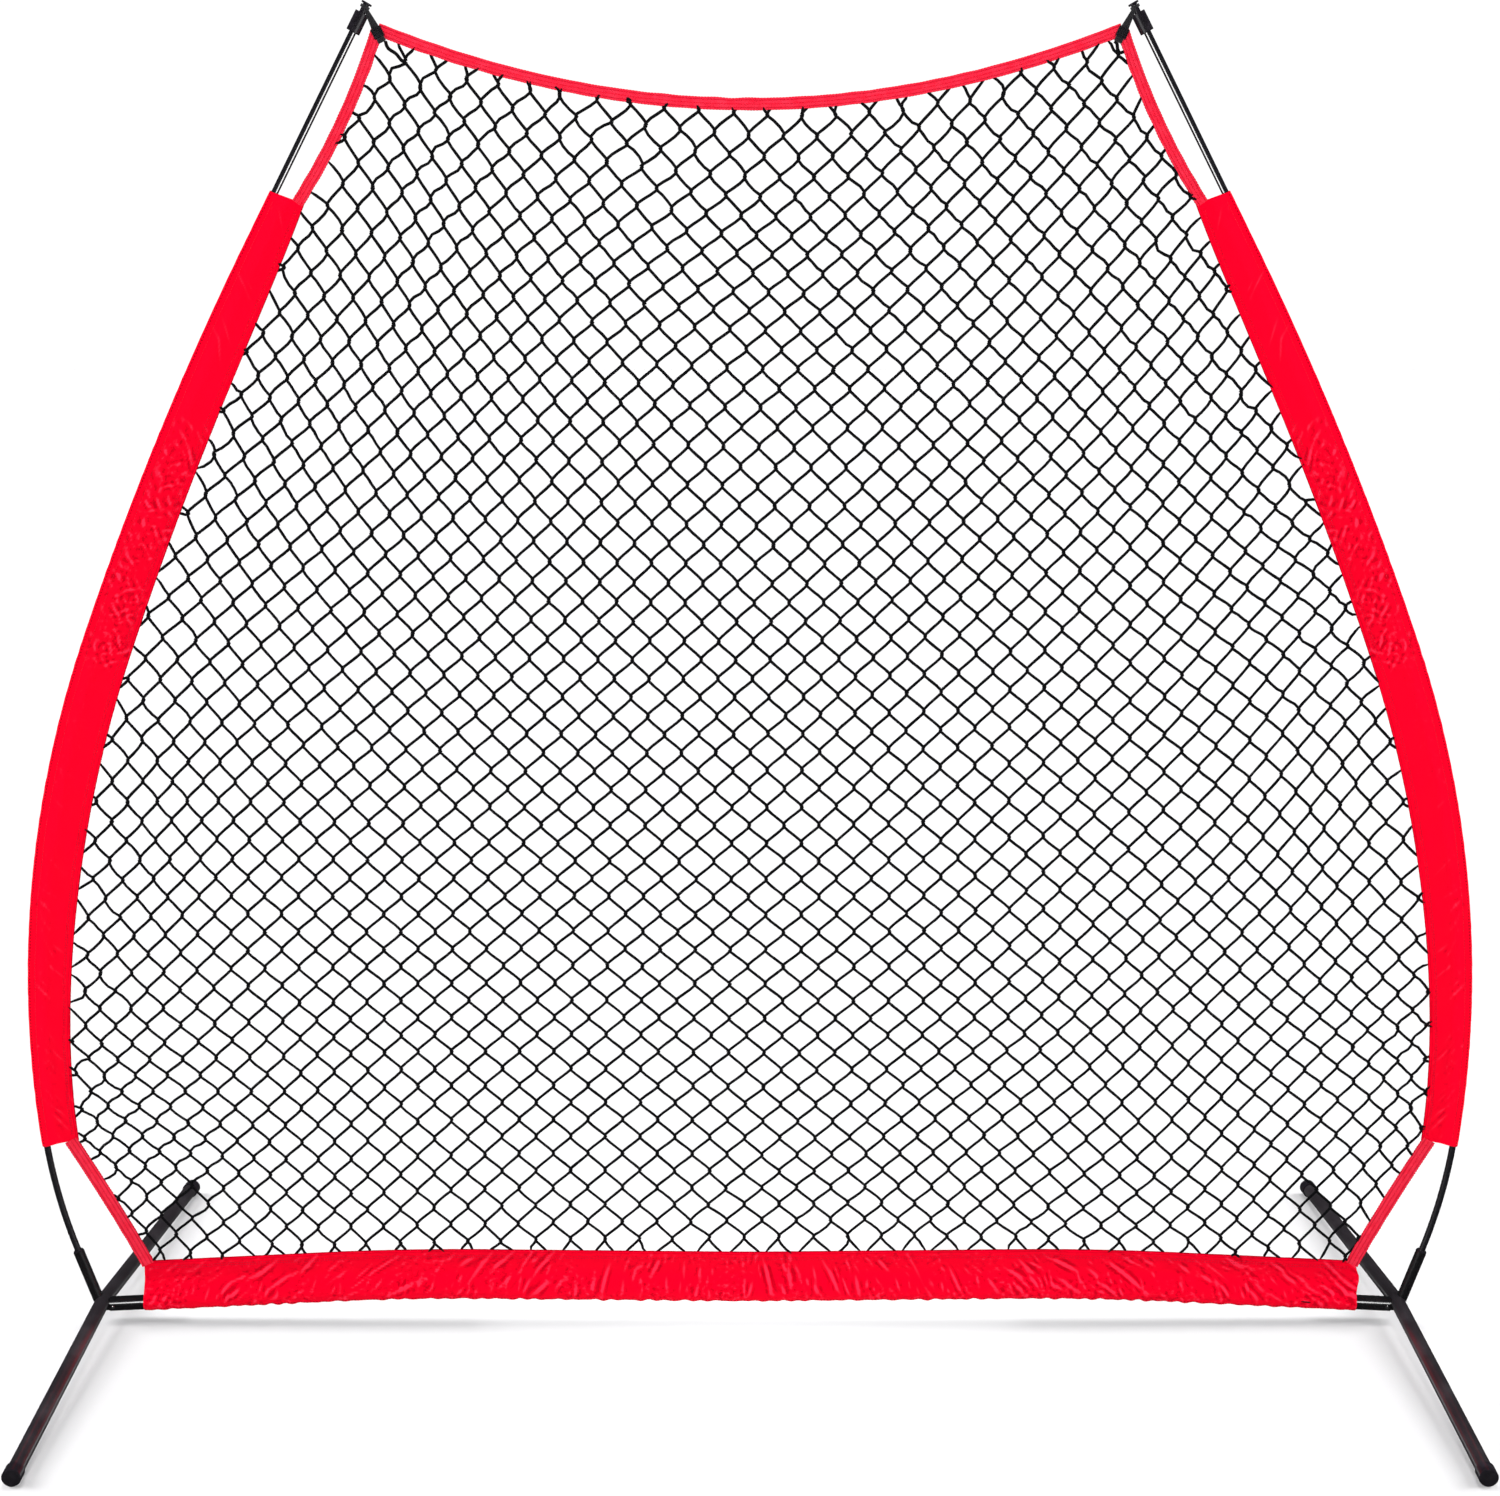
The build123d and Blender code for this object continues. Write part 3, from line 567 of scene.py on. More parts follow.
def twine_family(name, seed):
    """All twines of one family as one mesh. Rings are numbered: three a knot, then the strands'."""
    f = families[name]
    dice = np.random.default_rng(seed)
    turn = 1 if name == "rightward" else -1
    count = len(knot_place)
    offset = np.array([1, 0, -1]) * turn * 0.45 * twine_radius
    height = np.array([-1, 0, 1]) * knot_half
    lift = np.array([-0.35, -1.0, -0.35]) * turn * 0.62 * twine_radius
    flat = knot_place[:, None] + aside[:, None] * offset[:, None] + down[:, None] * height[:, None]
    flat += dice.normal(0, 0.0003, flat.shape)
    centres = in_space(flat, net_depth[:, None] + lift)
    knot_way = in_space(np.repeat(down[:, None], 3, 1), 0.0)
    fat = np.array([1.02, 1.12, 1.02]) * twine_radius
    knot_rings = rings_round(centres, knot_way, np.broadcast_to(fat, (count, 3)))

    def strand_rings(start, slope_start, end, slope_end, long, share, loose, sense=1.0):
        chord = np.linalg.norm(end - start, axis=1)
        slack = np.clip(1 - chord / long, 0, 0.35)
        reach_out = chord * (0.16 + 1.5 * slack) * dice.uniform(0.85, 1.15, len(chord))
        points = hermite(
            share, start, slope_start * reach_out[:, None], end, slope_end * reach_out[:, None]
        )
        side = in_space(np.stack([-(end - start)[:, 2], (end - start)[:, 0]], -1), 0.0)
        side /= np.linalg.norm(side, axis=1)[:, None]
        belly = chord * np.sqrt(slack) * loose * dice.normal(0, 1.0, len(chord))
        belly = belly[:, None] * np.sin(np.pi * share)
        loose_part = smooth((slack - 0.09) / 0.13) * dice.uniform(0.35, 1.0, len(chord))
        turns = 2 * np.pi * dice.uniform(0.95, 1.25, len(chord))[:, None] * share
        turns = turns + dice.normal(0, 0.45, len(chord))[:, None]
        wave = 0.085 * chord * loose_part * np.where(dice.random(len(chord)) < 0.15, -0.6, 1.0)
        belly += wave[:, None] * np.sin(turns) * np.sin(np.pi * share)
        points += side[:, None] * belly[..., None]
        points[..., 1] += (dice.normal(0, 0.0006, len(chord))[:, None]) * np.sin(np.pi * share)
        spread = np.concatenate([start[:, None], points, end[:, None]], 1)
        way = np.gradient(spread, axis=1)[:, 1:-1] * np.reshape(sense, (-1, 1, 1))
        radius = twine_radius * (1 + dice.normal(0, 0.03, points.shape[:2]))
        if len(share) > len(stations):
            radius *= np.interp(share, [0, 0.66, 1], [1, 1, 0.34])
        return rings_round(points, way, radius)

    upper, lower = f["whole"].T
    inner = strand_rings(
        centres[upper, 2], knot_way[upper, 0], centres[lower, 0], knot_way[lower, 0], strand, stations,
        looseness[upper],
    )
    leave = np.where(f["sign"] > 0, 2, 0)
    start = centres[f["cut"], leave]
    end = in_space(f["ends"], 0.0007 + dice.normal(0, 0.0002, len(leave)))
    ahead = (end - start) / np.maximum(np.linalg.norm(end - start, axis=1), 1e-5)[:, None]
    slope = knot_way[f["cut"], 0] * f["sign"][:, None]
    short = strand * np.clip(f["share"], 0.15, 1) + 0.004
    outer = strand_rings(
        start, slope, end, ahead, short, np.append(stations, 0.999), looseness[f["cut"]], f["sign"]
    )

    rings = np.concatenate([r.reshape(-1, sides, 3) for r in (knot_rings, inner, outer)])
    per, per_cut = len(stations), len(stations) + 1
    base = 3 * count
    cut_base = base + per * len(upper)
    knot_links = np.stack([np.arange(count) * 3, np.arange(count) * 3 + 1, np.arange(count) * 3 + 2], -1)
    inner_links = base + np.arange(len(upper))[:, None] * per + np.arange(per)
    inner_links = np.concatenate([3 * upper[:, None] + 2, inner_links, 3 * lower[:, None]], 1)
    cut_links = cut_base + np.arange(len(leave))[:, None] * per_cut + np.arange(per_cut)
    cut_links = np.concatenate([3 * f["cut"][:, None] + leave[:, None], cut_links], 1)
    cut_links = np.where(f["sign"][:, None] > 0, cut_links, cut_links[:, ::-1])
    links = [knot_links, inner_links, cut_links]
    low = np.concatenate([part[:, :-1].ravel() for part in links])
    high = np.concatenate([part[:, 1:].ravel() for part in links])
    side = np.arange(sides)
    after = (side + 1) % sides
    walls = np.stack(
        [
            low[:, None] * sides + side,
            low[:, None] * sides + after,
            high[:, None] * sides + after,
            high[:, None] * sides + side,
        ],
        -1,
    ).reshape(-1, 4)
    tips = cut_base + np.arange(len(leave)) * per_cut + per_cut - 1
    caps = tips[:, None, None] * sides + np.array([[0, 1, 2, 3], [0, 3, 4, 5]])
    caps = np.where(f["sign"][:, None, None] > 0, caps, caps[..., ::-1]).reshape(-1, 4)
    middle = rings.mean(1)
    around = np.broadcast_to(np.stack([side, side + 1, side + 1, side], -1) / sides, (len(low), sides, 4))
    ring_length = np.linalg.norm(middle[high] - middle[low], axis=1)
    along = np.stack([np.zeros_like(ring_length)] * 2 + [ring_length] * 2, -1) + middle[low, 2][:, None]
    uvs = np.stack([around, np.broadcast_to(along[:, None], around.shape)], -1).reshape(-1, 2)
    uvs = np.concatenate([uvs, np.zeros((4 * len(caps), 2))])
    piece = new_piece(f"net_twines_{name}", rings.reshape(-1, 3), np.concatenate([walls, caps]), uvs)
    print(piece.name, 2 * (len(walls) + len(caps)), "triangles")
    return piece


def corner_lace(side, sign):
    """The loose end of twine that ties the net's nearest knot to its upper corner."""
    start = np.array([sign * (corner[0] - 0.004), corner[1] - 0.013])
    knot = knot_place[np.argmin(np.linalg.norm(knot_place - start - [-sign * 0.012, -0.012], axis=1))]
    count = 9
    t = np.linspace(0, 1, count)[:, None]
    square = np.array([-(knot - start)[1], (knot - start)[0]])
    sway = 0.10 * np.sin(np.pi * t) + 0.05 * np.sin(2.6 * np.pi * t)
    points = in_space(start + (knot - start) * t + sign * square * sway, -0.0022)
    rings = rings_round(points, np.gradient(points, axis=0), np.full(count, 1.12 * twine_radius))
    uvs = tube_uvs(t[:, 0] * 0.03, np.linspace(0, 0.012, sides + 1))
    piece = new_piece(f"{side}_corner_lace", rings.reshape(-1, 3), tube_faces(count, sides), uvs)
    return piece


twines = [twine_family("rightward", 21), twine_family("leftward", 22)]
laces = [corner_lace(side, sign) for side, sign in hands]
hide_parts("net")

# %% [markdown]
# ## Sleeves
# A sleeve is one strip of nylon folded round the pole and sewn to itself along the net. Cut across,
# it is a loop: half a circle round the pole, two flats that close at the seam further in, and a
# folded hem. The loop is carried up the pole with its own width at each height. Thin nylon pulled
# tight has few folds but many small wrinkles, and each is a ridge between two faint valleys. So the
# relief is a sum of seeded wrinkles, and its height also goes into the mesh as a mark, because the
# finish paints a highlight along every ridge and shade in every valley.

# %% A loop of cloth round a rod


def sleeve_loop(width, round_radius, flat_points=22, hem=0.0095):
    """Half of a sleeve's section: distances in from the axis, and half thicknesses, per station."""
    quarter = np.linspace(0, np.pi / 2, 9)[1:]
    inward = -round_radius * np.cos(quarter)
    thick = round_radius * np.sin(quarter)
    t = np.linspace(0, 1, flat_points)[1:]
    flat = np.asarray(width)[:, None] * t
    edge = np.asarray(width)[:, None]
    flat_thick = 0.0009 + (round_radius - 0.0009) * (1 - smooth(flat / (3.4 * round_radius)))
    flat_thick = flat_thick + 0.0006 * smooth((flat - edge + hem) / 0.0025)
    flat_thick = flat_thick * np.sqrt(np.clip(1 - smooth((flat - edge + 0.0012) / 0.0030), 0.04, 1))
    count = len(flat)
    inward = np.concatenate([np.broadcast_to(inward, (count, 8)), flat], 1)
    thick = np.concatenate([np.broadcast_to(thick, (count, 8)), flat_thick], 1)
    return inward, thick


def wrinkles(dice, along, inward, kinds):
    """Sums tall * (1 - 2q) * exp(-q - p), with q and p the squares across and along each wrinkle.

    A kind is a count, ranges of place along and inward, a tilt, and ranges of height, width and
    length. A tilt is degrees, and the place on each side of 0 where a fan reaches them (0: no fan)."""
    total = 0
    for count, spots, depths, (degrees, fan), tall, wide, long in kinds:
        relief = np.zeros(along.shape)
        for _ in range(count):
            spot = dice.uniform(*spots)
            share = float(np.clip(spot / fan, -1, 1)) if fan else 1
            turn = math.radians(degrees * share + dice.normal(0, 9))
            ahead, beside = along - spot, inward - dice.uniform(*depths)
            q = ((ahead * math.cos(turn) - beside * math.sin(turn)) / dice.uniform(*wide)) ** 2
            p = ((ahead * math.sin(turn) + beside * math.cos(turn)) / dice.uniform(*long)) ** 2
            relief += dice.uniform(*tall) * (1 - 2 * q) * np.exp(-q - p)
        total = total + relief
    return total


def sleeve_points(line, along_axis, along_seam, width, round_radius, seed, relief, crumple, ragged=0.015):
    """Rings of cloth along a line, with a relief, and a mark of how crumpled the coating is, for painted
    shade.
    """
    inward, thick = sleeve_loop(width, round_radius)
    share = np.clip(inward / width[:, None], 0, 1)
    along = along_axis[:, None] + (along_seam - along_axis)[:, None] * share
    free = smooth((inward + round_radius) / (1.6 * round_radius)) * (1 - smooth((share - 0.955) / 0.035))
    sway = 0.0007 * free * ripple(seed, along + 0.5 * inward, inward, 0.12, 0.16)
    rag = round_radius * ragged * ripple(seed + 9, along, inward * 0, 0.030, 1.0) * (inward < 0)
    hem_pucker = 0.00022 * smooth((share - 0.80) / 0.1) * ripple(seed + 7, along, inward, 0.0095, 0.05)
    layers = []
    for layer, sign in ((0, -1), (1, 1)):
        height = relief(np.random.default_rng(seed + layer), along, inward) * free
        y = sign * (thick + np.maximum(height, -0.0006) + hem_pucker * free) + sway
        layers.append((inward - rag, y, along, height))
    count = len(width)
    rim = (np.full((count, 1), -round_radius) - rag[:, :1], np.zeros((count, 1)), along_axis[:, None])
    seam = (width[:, None] + 0.0004, sway[:, -1:], along_seam[:, None])
    flat_mark = np.zeros((count, 1))
    front, back = layers
    rim, seam = (*rim, flat_mark), (*seam, flat_mark)
    loop = [np.concatenate([rim[k], front[k], seam[k], back[k][:, ::-1]], 1) for k in range(4)]
    points = in_space(line.beside(loop[2], loop[0]), loop[1])
    steps = np.linalg.norm(np.diff(np.concatenate([points, points[:, :1]], 1), axis=1), axis=2)
    around = reached(steps.mean(0))
    marks = {
        "fold": loop[3] * 1000,
        "from_rim": loop[0] + round_radius,
        "from_seam": width[:, None] - loop[0],
        "crumple": crumple(loop[2], loop[0]),
    }
    return points, around, marks


# %% Side sleeves
count = 620
share = np.linspace(0, 1, count)
along_pole = sleeve_ends[0] + (sleeve_ends[1] - sleeve_ends[0]) * share
along_seam = seam_ends[0] + (seam_ends[1] - seam_ends[0]) * share


def side_relief(dice, along, inward):
    """Dense small wrinkles above the middle, long slanting ones below, and short ones on the hem."""
    slant, counter = (-52.0, 0), (38.0, 0)
    kinds = (
        (150, (1.02, 1.40), (0.004, 0.055), slant, (1e-4, 5e-4), (3e-3, 4.5e-3), (4e-3, 11e-3)),
        (80, (1.02, 1.36), (0.020, 0.058), counter, (1e-4, 4e-4), (3e-3, 4e-3), (4e-3, 9e-3)),
        (46, (0.27, 1.72), (0.004, 0.030), slant, (0.5e-4, 3e-4), (3e-3, 5e-3), (8e-3, 22e-3)),
        (22, (0.29, 0.62), (0.010, 0.050), slant, (0.5e-4, 3e-4), (3e-3, 5e-3), (8e-3, 20e-3)),
    )
    return wrinkles(dice, along, inward, kinds)


def side_crumple(along, inward):
    """Most above the middle, a little on the outer half below it, and none near the top."""
    upper = smooth((along - 1.00) / 0.06) * (1 - smooth((along - 1.34) / 0.08))
    lower = 0.5 * (1 - smooth((along - 1.00) / 0.10)) * (1 - smooth((inward - 0.018) / 0.024))
    return (upper + lower) * smooth((inward + 0.002) / 0.006)


points, around, marks = sleeve_points(
    pole, along_pole, along_seam, seam_width(share), 0.0068, 40, side_relief, side_crumple
)
side_cloth = points
faces = tube_faces(count, points.shape[1], capped=False)
side_sleeves = pair(
    "sleeve_cloth", points.reshape(-1, 3), faces, tube_uvs(along_pole, around, capped=False),
    flip=True, marks=marks,
)
for side, piece in side_sleeves.items():
    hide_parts(f"{side}_side_sleeve")
print(f"side sleeve: {count} rings of {points.shape[1]}, cloth {around[-1] * 1000:.0f} mm wide")

# %% [markdown]
# The bottom sleeve is made the same way over the crossbar. It is one piece from side to side. The
# corner straps pull its lower edge outward, so its wrinkles fan: they stand upright in the middle
# and lean further out towards each end.

# %% The bottom sleeve
count = 760
share = np.linspace(-1, 1, count)
along_bar = bottom_end * share
width = np.full(count, bottom_height)


class WholeBar:
    """The crossbar's line to both sides of the middle, as the mirror of its right half."""

    def beside(self, along, offset):
        """Points to the left of the line; a negative distance is on the left half."""
        points = bar.beside(np.abs(along), offset)
        return points * np.stack([np.sign(along) + (along == 0), np.ones_like(along)], -1)


def bottom_relief(dice, along, inward):
    """Long fanned wrinkles, and short ones along both edges."""
    flat, steep = (-56.0, 0.45), (-24.0, 0.30)
    ends = (-bottom_end, bottom_end)
    kinds = (
        (120, ends, (0.000, 0.056), flat, (2e-4, 8e-4), (3.2e-3, 5.5e-3), (10e-3, 30e-3)),
        (230, ends, (-0.008, 0.022), steep, (2e-4, 6e-4), (3e-3, 4.5e-3), (4e-3, 12e-3)),
        (150, ends, (0.030, 0.060), flat, (1.5e-4, 5e-4), (3e-3, 4e-3), (4e-3, 10e-3)),
    )
    return wrinkles(dice, along, inward, kinds)


def bottom_crumple(along, inward):
    """Everywhere, and most on the lower half."""
    return 0.75 + 0.45 * (1 - smooth(inward / 0.034))


points, around, marks = sleeve_points(
    WholeBar(), along_bar, along_bar * 0.9935, width, 0.0124, 60, bottom_relief, bottom_crumple, 0.05
)
tuck = np.exp(-(((points[..., 2] - 0.070) / 0.013) ** 2)) * smooth((points[..., 0] - 0.896) / 0.030)
points[..., 0] += 0.0055 * tuck
bottom_cloth = points
faces = tube_faces(count, points.shape[1], capped=False)
quads, corners = turned_over(faces, tube_uvs(along_bar, around, capped=False))
bottom_sleeve = new_piece("bottom_sleeve_cloth", points.reshape(-1, 3), quads, corners, marks)
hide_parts("bottom_sleeve")
print(f"bottom sleeve: {count} rings, cloth {around[-1] * 1000:.0f} mm wide")

for piece in (*side_sleeves.values(), bottom_sleeve):
    piece.visible_diffuse = False
    wall = piece.modifiers.new("cloth thickness", "SOLIDIFY")
    wall.thickness = 0.0004
    wall.offset = -1.0
    wall.use_even_offset = False

# %% [markdown]
# ## Webbing
# The bindings are flat woven tape, folded over the edge of the net and sewn with two rows of
# stitches. Their section is a rounded bar with a shallow groove under each row, and the same table
# of faces carries it along the binding's line. Where a binding ends on a sleeve it is folded round
# the cloth and sewn down, so it runs on a little and is thicker there.

# %% Tape along a line


def tape_section(half_width, half_thick, grooves):
    """A closed section of (across, forward) points: flat faces with grooves, and round edges."""
    across = np.linspace(-1, 1, 17) * (half_width - half_thick * 0.8)
    forward = np.full(17, half_thick)
    for groove in grooves:
        forward -= 0.00032 * np.exp(-(((across - groove) / 0.0009) ** 2))
    angle = np.linspace(0, np.pi, 7)[1:-1]
    edge_across = half_width - half_thick * 0.8 + half_thick * 0.8 * np.sin(angle)
    edge_forward = half_thick * np.cos(angle)
    a = np.concatenate([across, edge_across, across[::-1], -edge_across])
    f = np.concatenate([forward, edge_forward, -forward[::-1], -edge_forward])
    return a[::-1], f[::-1]


def longer(line, before, after):
    """A line that runs straight on at both ends by these lengths."""
    first, last = line[0] - line[1], line[-1] - line[-2]
    first, last = first / np.linalg.norm(first), last / np.linalg.norm(last)
    steps = np.linspace(1, 0, 6)[:-1, None]
    return np.concatenate([line[0] + first * before * steps, line, line[-1] + last * after * steps[::-1]])


def tape(line, half_width, half_thick, seed, thick_ends=(0.0, 0.0)):
    """Rings of tape along (x, z) points, a little uneven, and thicker over each end's length."""
    across, forward = tape_section(half_width, half_thick, (-0.62 * half_width, 0.62 * half_width))
    left = cross(line)
    steps = np.linalg.norm(np.diff(line, axis=0), axis=1)
    along = reached(steps)
    ends = smooth((thick_ends[0] - along) / 0.003 + 1) * (thick_ends[0] > 0)
    ends = ends + smooth((along - along[-1] + thick_ends[1]) / 0.003 + 1) * (thick_ends[1] > 0)
    pull = 0.00016 * ripple(seed, along[:, None], across * 20, 0.050, 1.0)
    bend = 0.00012 * ripple(seed + 1, along[:, None], across * 0, 0.06, 1.0)
    flat = line[:, None] + left[:, None] * (across + pull * np.abs(across) / half_width)[..., None]
    points = in_space(flat, -forward * (1 + 0.85 * ends[:, None]) + bend)
    edge = np.hypot(np.diff(np.append(across, across[0])), np.diff(np.append(forward, forward[0])))
    marks = {"across": np.broadcast_to(across / half_width, points.shape[:2])}
    return points, along, reached(edge), marks


points, along, around, marks = tape(longer(top_line, 0.0065, 0.0065), 0.008, 0.0014, 70)
top_cloth = points
sides_of_tape = points.shape[1]
faces = tube_faces(len(points), sides_of_tape)
top_tape = new_piece("top_binding_tape", points.reshape(-1, 3), faces, tube_uvs(along, around), marks=marks)
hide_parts("top_binding")
tapes = [top_tape]
side_cloths = []
for name, line, half, node, ends in (
    ("upper_binding_tape", longer(upper_line, 0.0070, 0.0045), 0.0080, "upper_binding", (0.0, 0.007)),
    ("lower_binding_tape", longer(lower_line, 0.0005, 0.0060), 0.0100, "lower_binding", (0.0, 0.009)),
):
    points, along, around, marks = tape(line, half, 0.0013, 80 + len(tapes), ends)
    side_cloths.append(points)
    faces = tube_faces(len(points), sides_of_tape)
    made = pair(name, points.reshape(-1, 3), faces, tube_uvs(along, around), marks=marks)
    for side, piece in made.items():
        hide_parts(f"{side}_{node}")
        tapes.append(piece)
print(len(tapes), "tapes")

# %% [markdown]
# ## Stitches
# Every seam shows its thread. A stitch is a short arch of thread: three rings of four points, whose
# ends dip into the cloth. A row follows one column of points of the cloth it holds, so it stays on
# the surface. All stitches go into one mesh, and each whose volume comes out negative faces inward,
# so all its faces are turned.

# %% Rows of stitches
thread = 0.00042


def stitch_row(path, out, pitch=0.0042, long=0.0031):
    """Stitches along 3-D points: arches at thread * 0.7 in the middle and thread * -0.6 at both ends."""
    steps = np.linalg.norm(np.diff(path, axis=0), axis=1)
    reach = reached(steps)
    start = np.arange(0.003, reach[-1] - 0.005, pitch)
    at = start[:, None] + np.array([0.0, 0.5, 1.0]) * long
    centre = np.stack([np.interp(at, reach, path[:, k]) for k in range(3)], -1)
    way = centre[:, 2:] - centre[:, :1]
    way = way / np.linalg.norm(way, axis=2, keepdims=True)
    side = np.cross(way, out)
    lift = thread * np.array([-0.6, 0.7, -0.6])[:, None]
    centre = centre + np.asarray(out) * lift
    corners = np.array([(-1, -1), (1, -1), (1, 1), (-1, 1)]) * thread * 0.8
    ring = centre[:, :, None] + side[:, :, None] * corners[:, :1] + np.asarray(out) * corners[:, 1:]
    return ring.reshape(-1, 3)


def column_at(cloth, column):
    """The points of a cloth along one of its columns, without its last three rings at each end."""
    return cloth[3:-3, column]


front, back = (0.0, -1.0, 0.0), (0.0, 1.0, 0.0)
half_ring = side_cloth.shape[1] // 2
rows_of = []
for cloth, mirrored in ((side_cloth, True), (bottom_cloth, False)):
    for column in (half_ring - 5, half_ring - 4):
        rows_of += [(column_at(cloth, column), front, mirrored), (column_at(cloth, -column), back, mirrored)]
rows_of.append((column_at(side_cloth, 10), front, True))
rows_of.append((column_at(side_cloth, -10), back, True))
for cloth, mirrored in ((top_cloth, False), (side_cloths[0], True), (side_cloths[1], True)):
    for column, out in ((3, front), (13, front), (25, back), (35, back)):
        forward = -1 if cloth[:, column, 1].mean() < 0 else 1
        rows_of.append((column_at(cloth, column), (0.0, float(forward), 0.0), mirrored))
made = []
for path, out, mirrored in rows_of:
    ring = stitch_row(path, out)
    made.append(ring)
    if mirrored:
        made.append(ring * [-1, 1, 1])
points = np.concatenate(made)
base = np.arange(len(points) // 12)[:, None, None] * 12
shape = tube_faces(3, 4)
faces = base + shape
corner_points = points.reshape(-1, 12, 3)[:, shape]
corner_points = corner_points - corner_points.mean((1, 2), keepdims=True)
first, second, third, fourth = np.moveaxis(corner_points, 2, 0)
volume = (np.cross(third - first, fourth - second) * corner_points.mean(2)).sum((1, 2)) / 6
faces = np.where(volume[:, None, None] < 0, faces[:, :, ::-1], faces).reshape(-1, 4)
stitches = new_piece("thread_stitches", points, faces)
print(len(base), "stitches,", 2 * len(faces), "triangles")

# %% [markdown]
# ## Snap springs
# Behind each snap button, inside the bar, a folded leaf of spring steel pushes it out. Its rear leaf
# lies against the bar's wall and stays. Its front leaf carries the button on its end; it is made on
# no body, with its placement baked into its points.

# %% Folded leaves
leaf_half_width = 0.0030
leaf_half_thick = 0.0003
button_from_fold = 0.042
leaf_beyond_button = 0.0042
leaf_around = 0.013


def leaf(along, depth):
    """A strip 6 mm wide along the bar at these depths towards the front, in metres."""
    middle, _ = bar.at(along)
    way, _ = bar.at(along + 0.001)
    left = cross(np.stack([middle[0], way[-1]]))[0]
    corners = np.array([(-1, -1), (0, -1), (1, -1), (1, 1), (0, 1), (-1, 1)])
    corners = corners * [leaf_half_width, leaf_half_thick]
    flat = middle[:, None] + left * corners[:, :1]
    return in_space(flat, -(depth[:, None] + corners[:, 1]))


low, high = (np.array(corner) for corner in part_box("right_snap_button"))
clip_low, clip_high = (np.array(corner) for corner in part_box("right_snap_clip"))
walk = np.linspace(0, bar.length, 4000)
button_at = float(np.interp((low[0] + high[0]) / 2, bar.at(walk)[0][:, 0], walk))
fold_at = button_at - button_from_fold
along = np.linspace(fold_at, button_at + leaf_beyond_button, 40)
share = np.linspace(0, 1, 40)
front_depth = -clip_low[1] - leaf_half_thick
rear_depth = -clip_high[1] + leaf_half_thick
fold_depth = rear_depth / 3
springs = {}
for name, reach, at_fold, body in (
    ("snap_spring_front", front_depth, fold_depth + leaf_half_thick, None),
    ("snap_spring_rear", rear_depth, fold_depth - leaf_half_thick, "root"),
):
    points = leaf(along, at_fold + (reach - at_fold) * share)
    uvs = tube_uvs(along - fold_at, np.linspace(0, leaf_around, 7))
    springs[name] = pair(name, points.reshape(-1, 3), tube_faces(len(along), 6), uvs, body=body)
    for side, piece in springs[name].items():
        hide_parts(f"{side}_snap_clip")
for side, sign in hands:
    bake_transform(springs["snap_spring_front"][side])
print("snap springs from", round(fold_at, 4), "to the button at", round(button_at, 4))

# %% [markdown]
# ## Corner straps
# A narrow elastic strap is looped round the neck of each tip cap and runs through a slider to the
# net's upper corner. It widens from the neck down, so its section is scaled along its way.

# %% Elastic straps
slider_half = 0.0065
strap_tail = 0.0070
strap_forward = 0.0038
strap_half_thick = 0.0010
neck_radius = 0.0046
neck = pole.beside(cap_top + 0.0084, 0.0)
slider_at = pole.beside(cap_top - corner_below_cap - 0.0048, corner_inward - 0.0040)
strap_run = float(np.linalg.norm(slider_at - neck))
strap_way = (slider_at - neck) / strap_run
strap_end = strap_run + slider_half + strap_tail
s = np.linspace(neck_radius, strap_end, 60)
strap_line = neck + strap_way * s[:, None]
half = np.interp(s, [0, strap_run - slider_half, strap_end], [0.0023, 0.0055, 0.0055])
across, forward = tape_section(1.0, 1.0, ())
left = np.array([-strap_way[1], strap_way[0]])
flat = strap_line[:, None] + left * (across * half[:, None])[..., None]
points = in_space(flat, -strap_forward - forward * strap_half_thick)
around = np.linspace(0, 0.024, len(across) + 1)
faces = tube_faces(len(s), len(across))
straps = pair("corner_strap_elastic", points.reshape(-1, 3), faces, tube_uvs(s, around))
for side, piece in straps.items():
    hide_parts(f"{side}_corner_strap")

collar_rings, collar_sides = 48, 12
collar_radius = 0.0056
collar_half_thick = 0.0009
collar_half_width = 0.0021
angle = np.linspace(0, 2 * np.pi, collar_rings + 1)[:-1]
axis = np.array([math.cos(tip_heading), 0.0, math.sin(tip_heading)])
side_way = np.array([-math.sin(tip_heading), 0.0, math.cos(tip_heading)])
centre = np.array([neck[0], 0.0, neck[1]])
radial = np.cos(angle)[:, None] * side_way + np.sin(angle)[:, None] * np.array([0.0, -1.0, 0.0])
section = np.linspace(0, 2 * np.pi, collar_sides + 1)[:-1]
bulge = np.sign(np.cos(section)) * np.abs(np.cos(section)) ** 0.5
rise = np.sign(np.sin(section)) * np.abs(np.sin(section)) ** 0.5
outward = (collar_radius + collar_half_thick * bulge)[None, :, None]
loop = centre + radial[:, None] * outward + axis * (collar_half_width * rise)[None, :, None]
ring = np.arange(collar_rings)[:, None]
ring_next = (ring + 1) % collar_rings * collar_sides
ring = ring * collar_sides
side = np.arange(collar_sides)[None, :]
after = (side + 1) % collar_sides
loop_faces = np.stack([ring + side, ring + after, ring_next + after, ring_next + side], -1)
collars = pair("strap_collar", loop.reshape(-1, 3), loop_faces.reshape(-1, 4), flip=True)
print(f"strap from neck to slider {strap_run * 1000:.1f} mm")

# %% [markdown]
# ## Finishes
# Shader sums are easier to read as sums. The class below holds one output socket of a material's
# node tree and knows plus, minus and times, so `0.3 + 0.1 * grain` adds its own Math nodes. Its one
# method `node` adds any other node after it.

# %% Sockets that add up


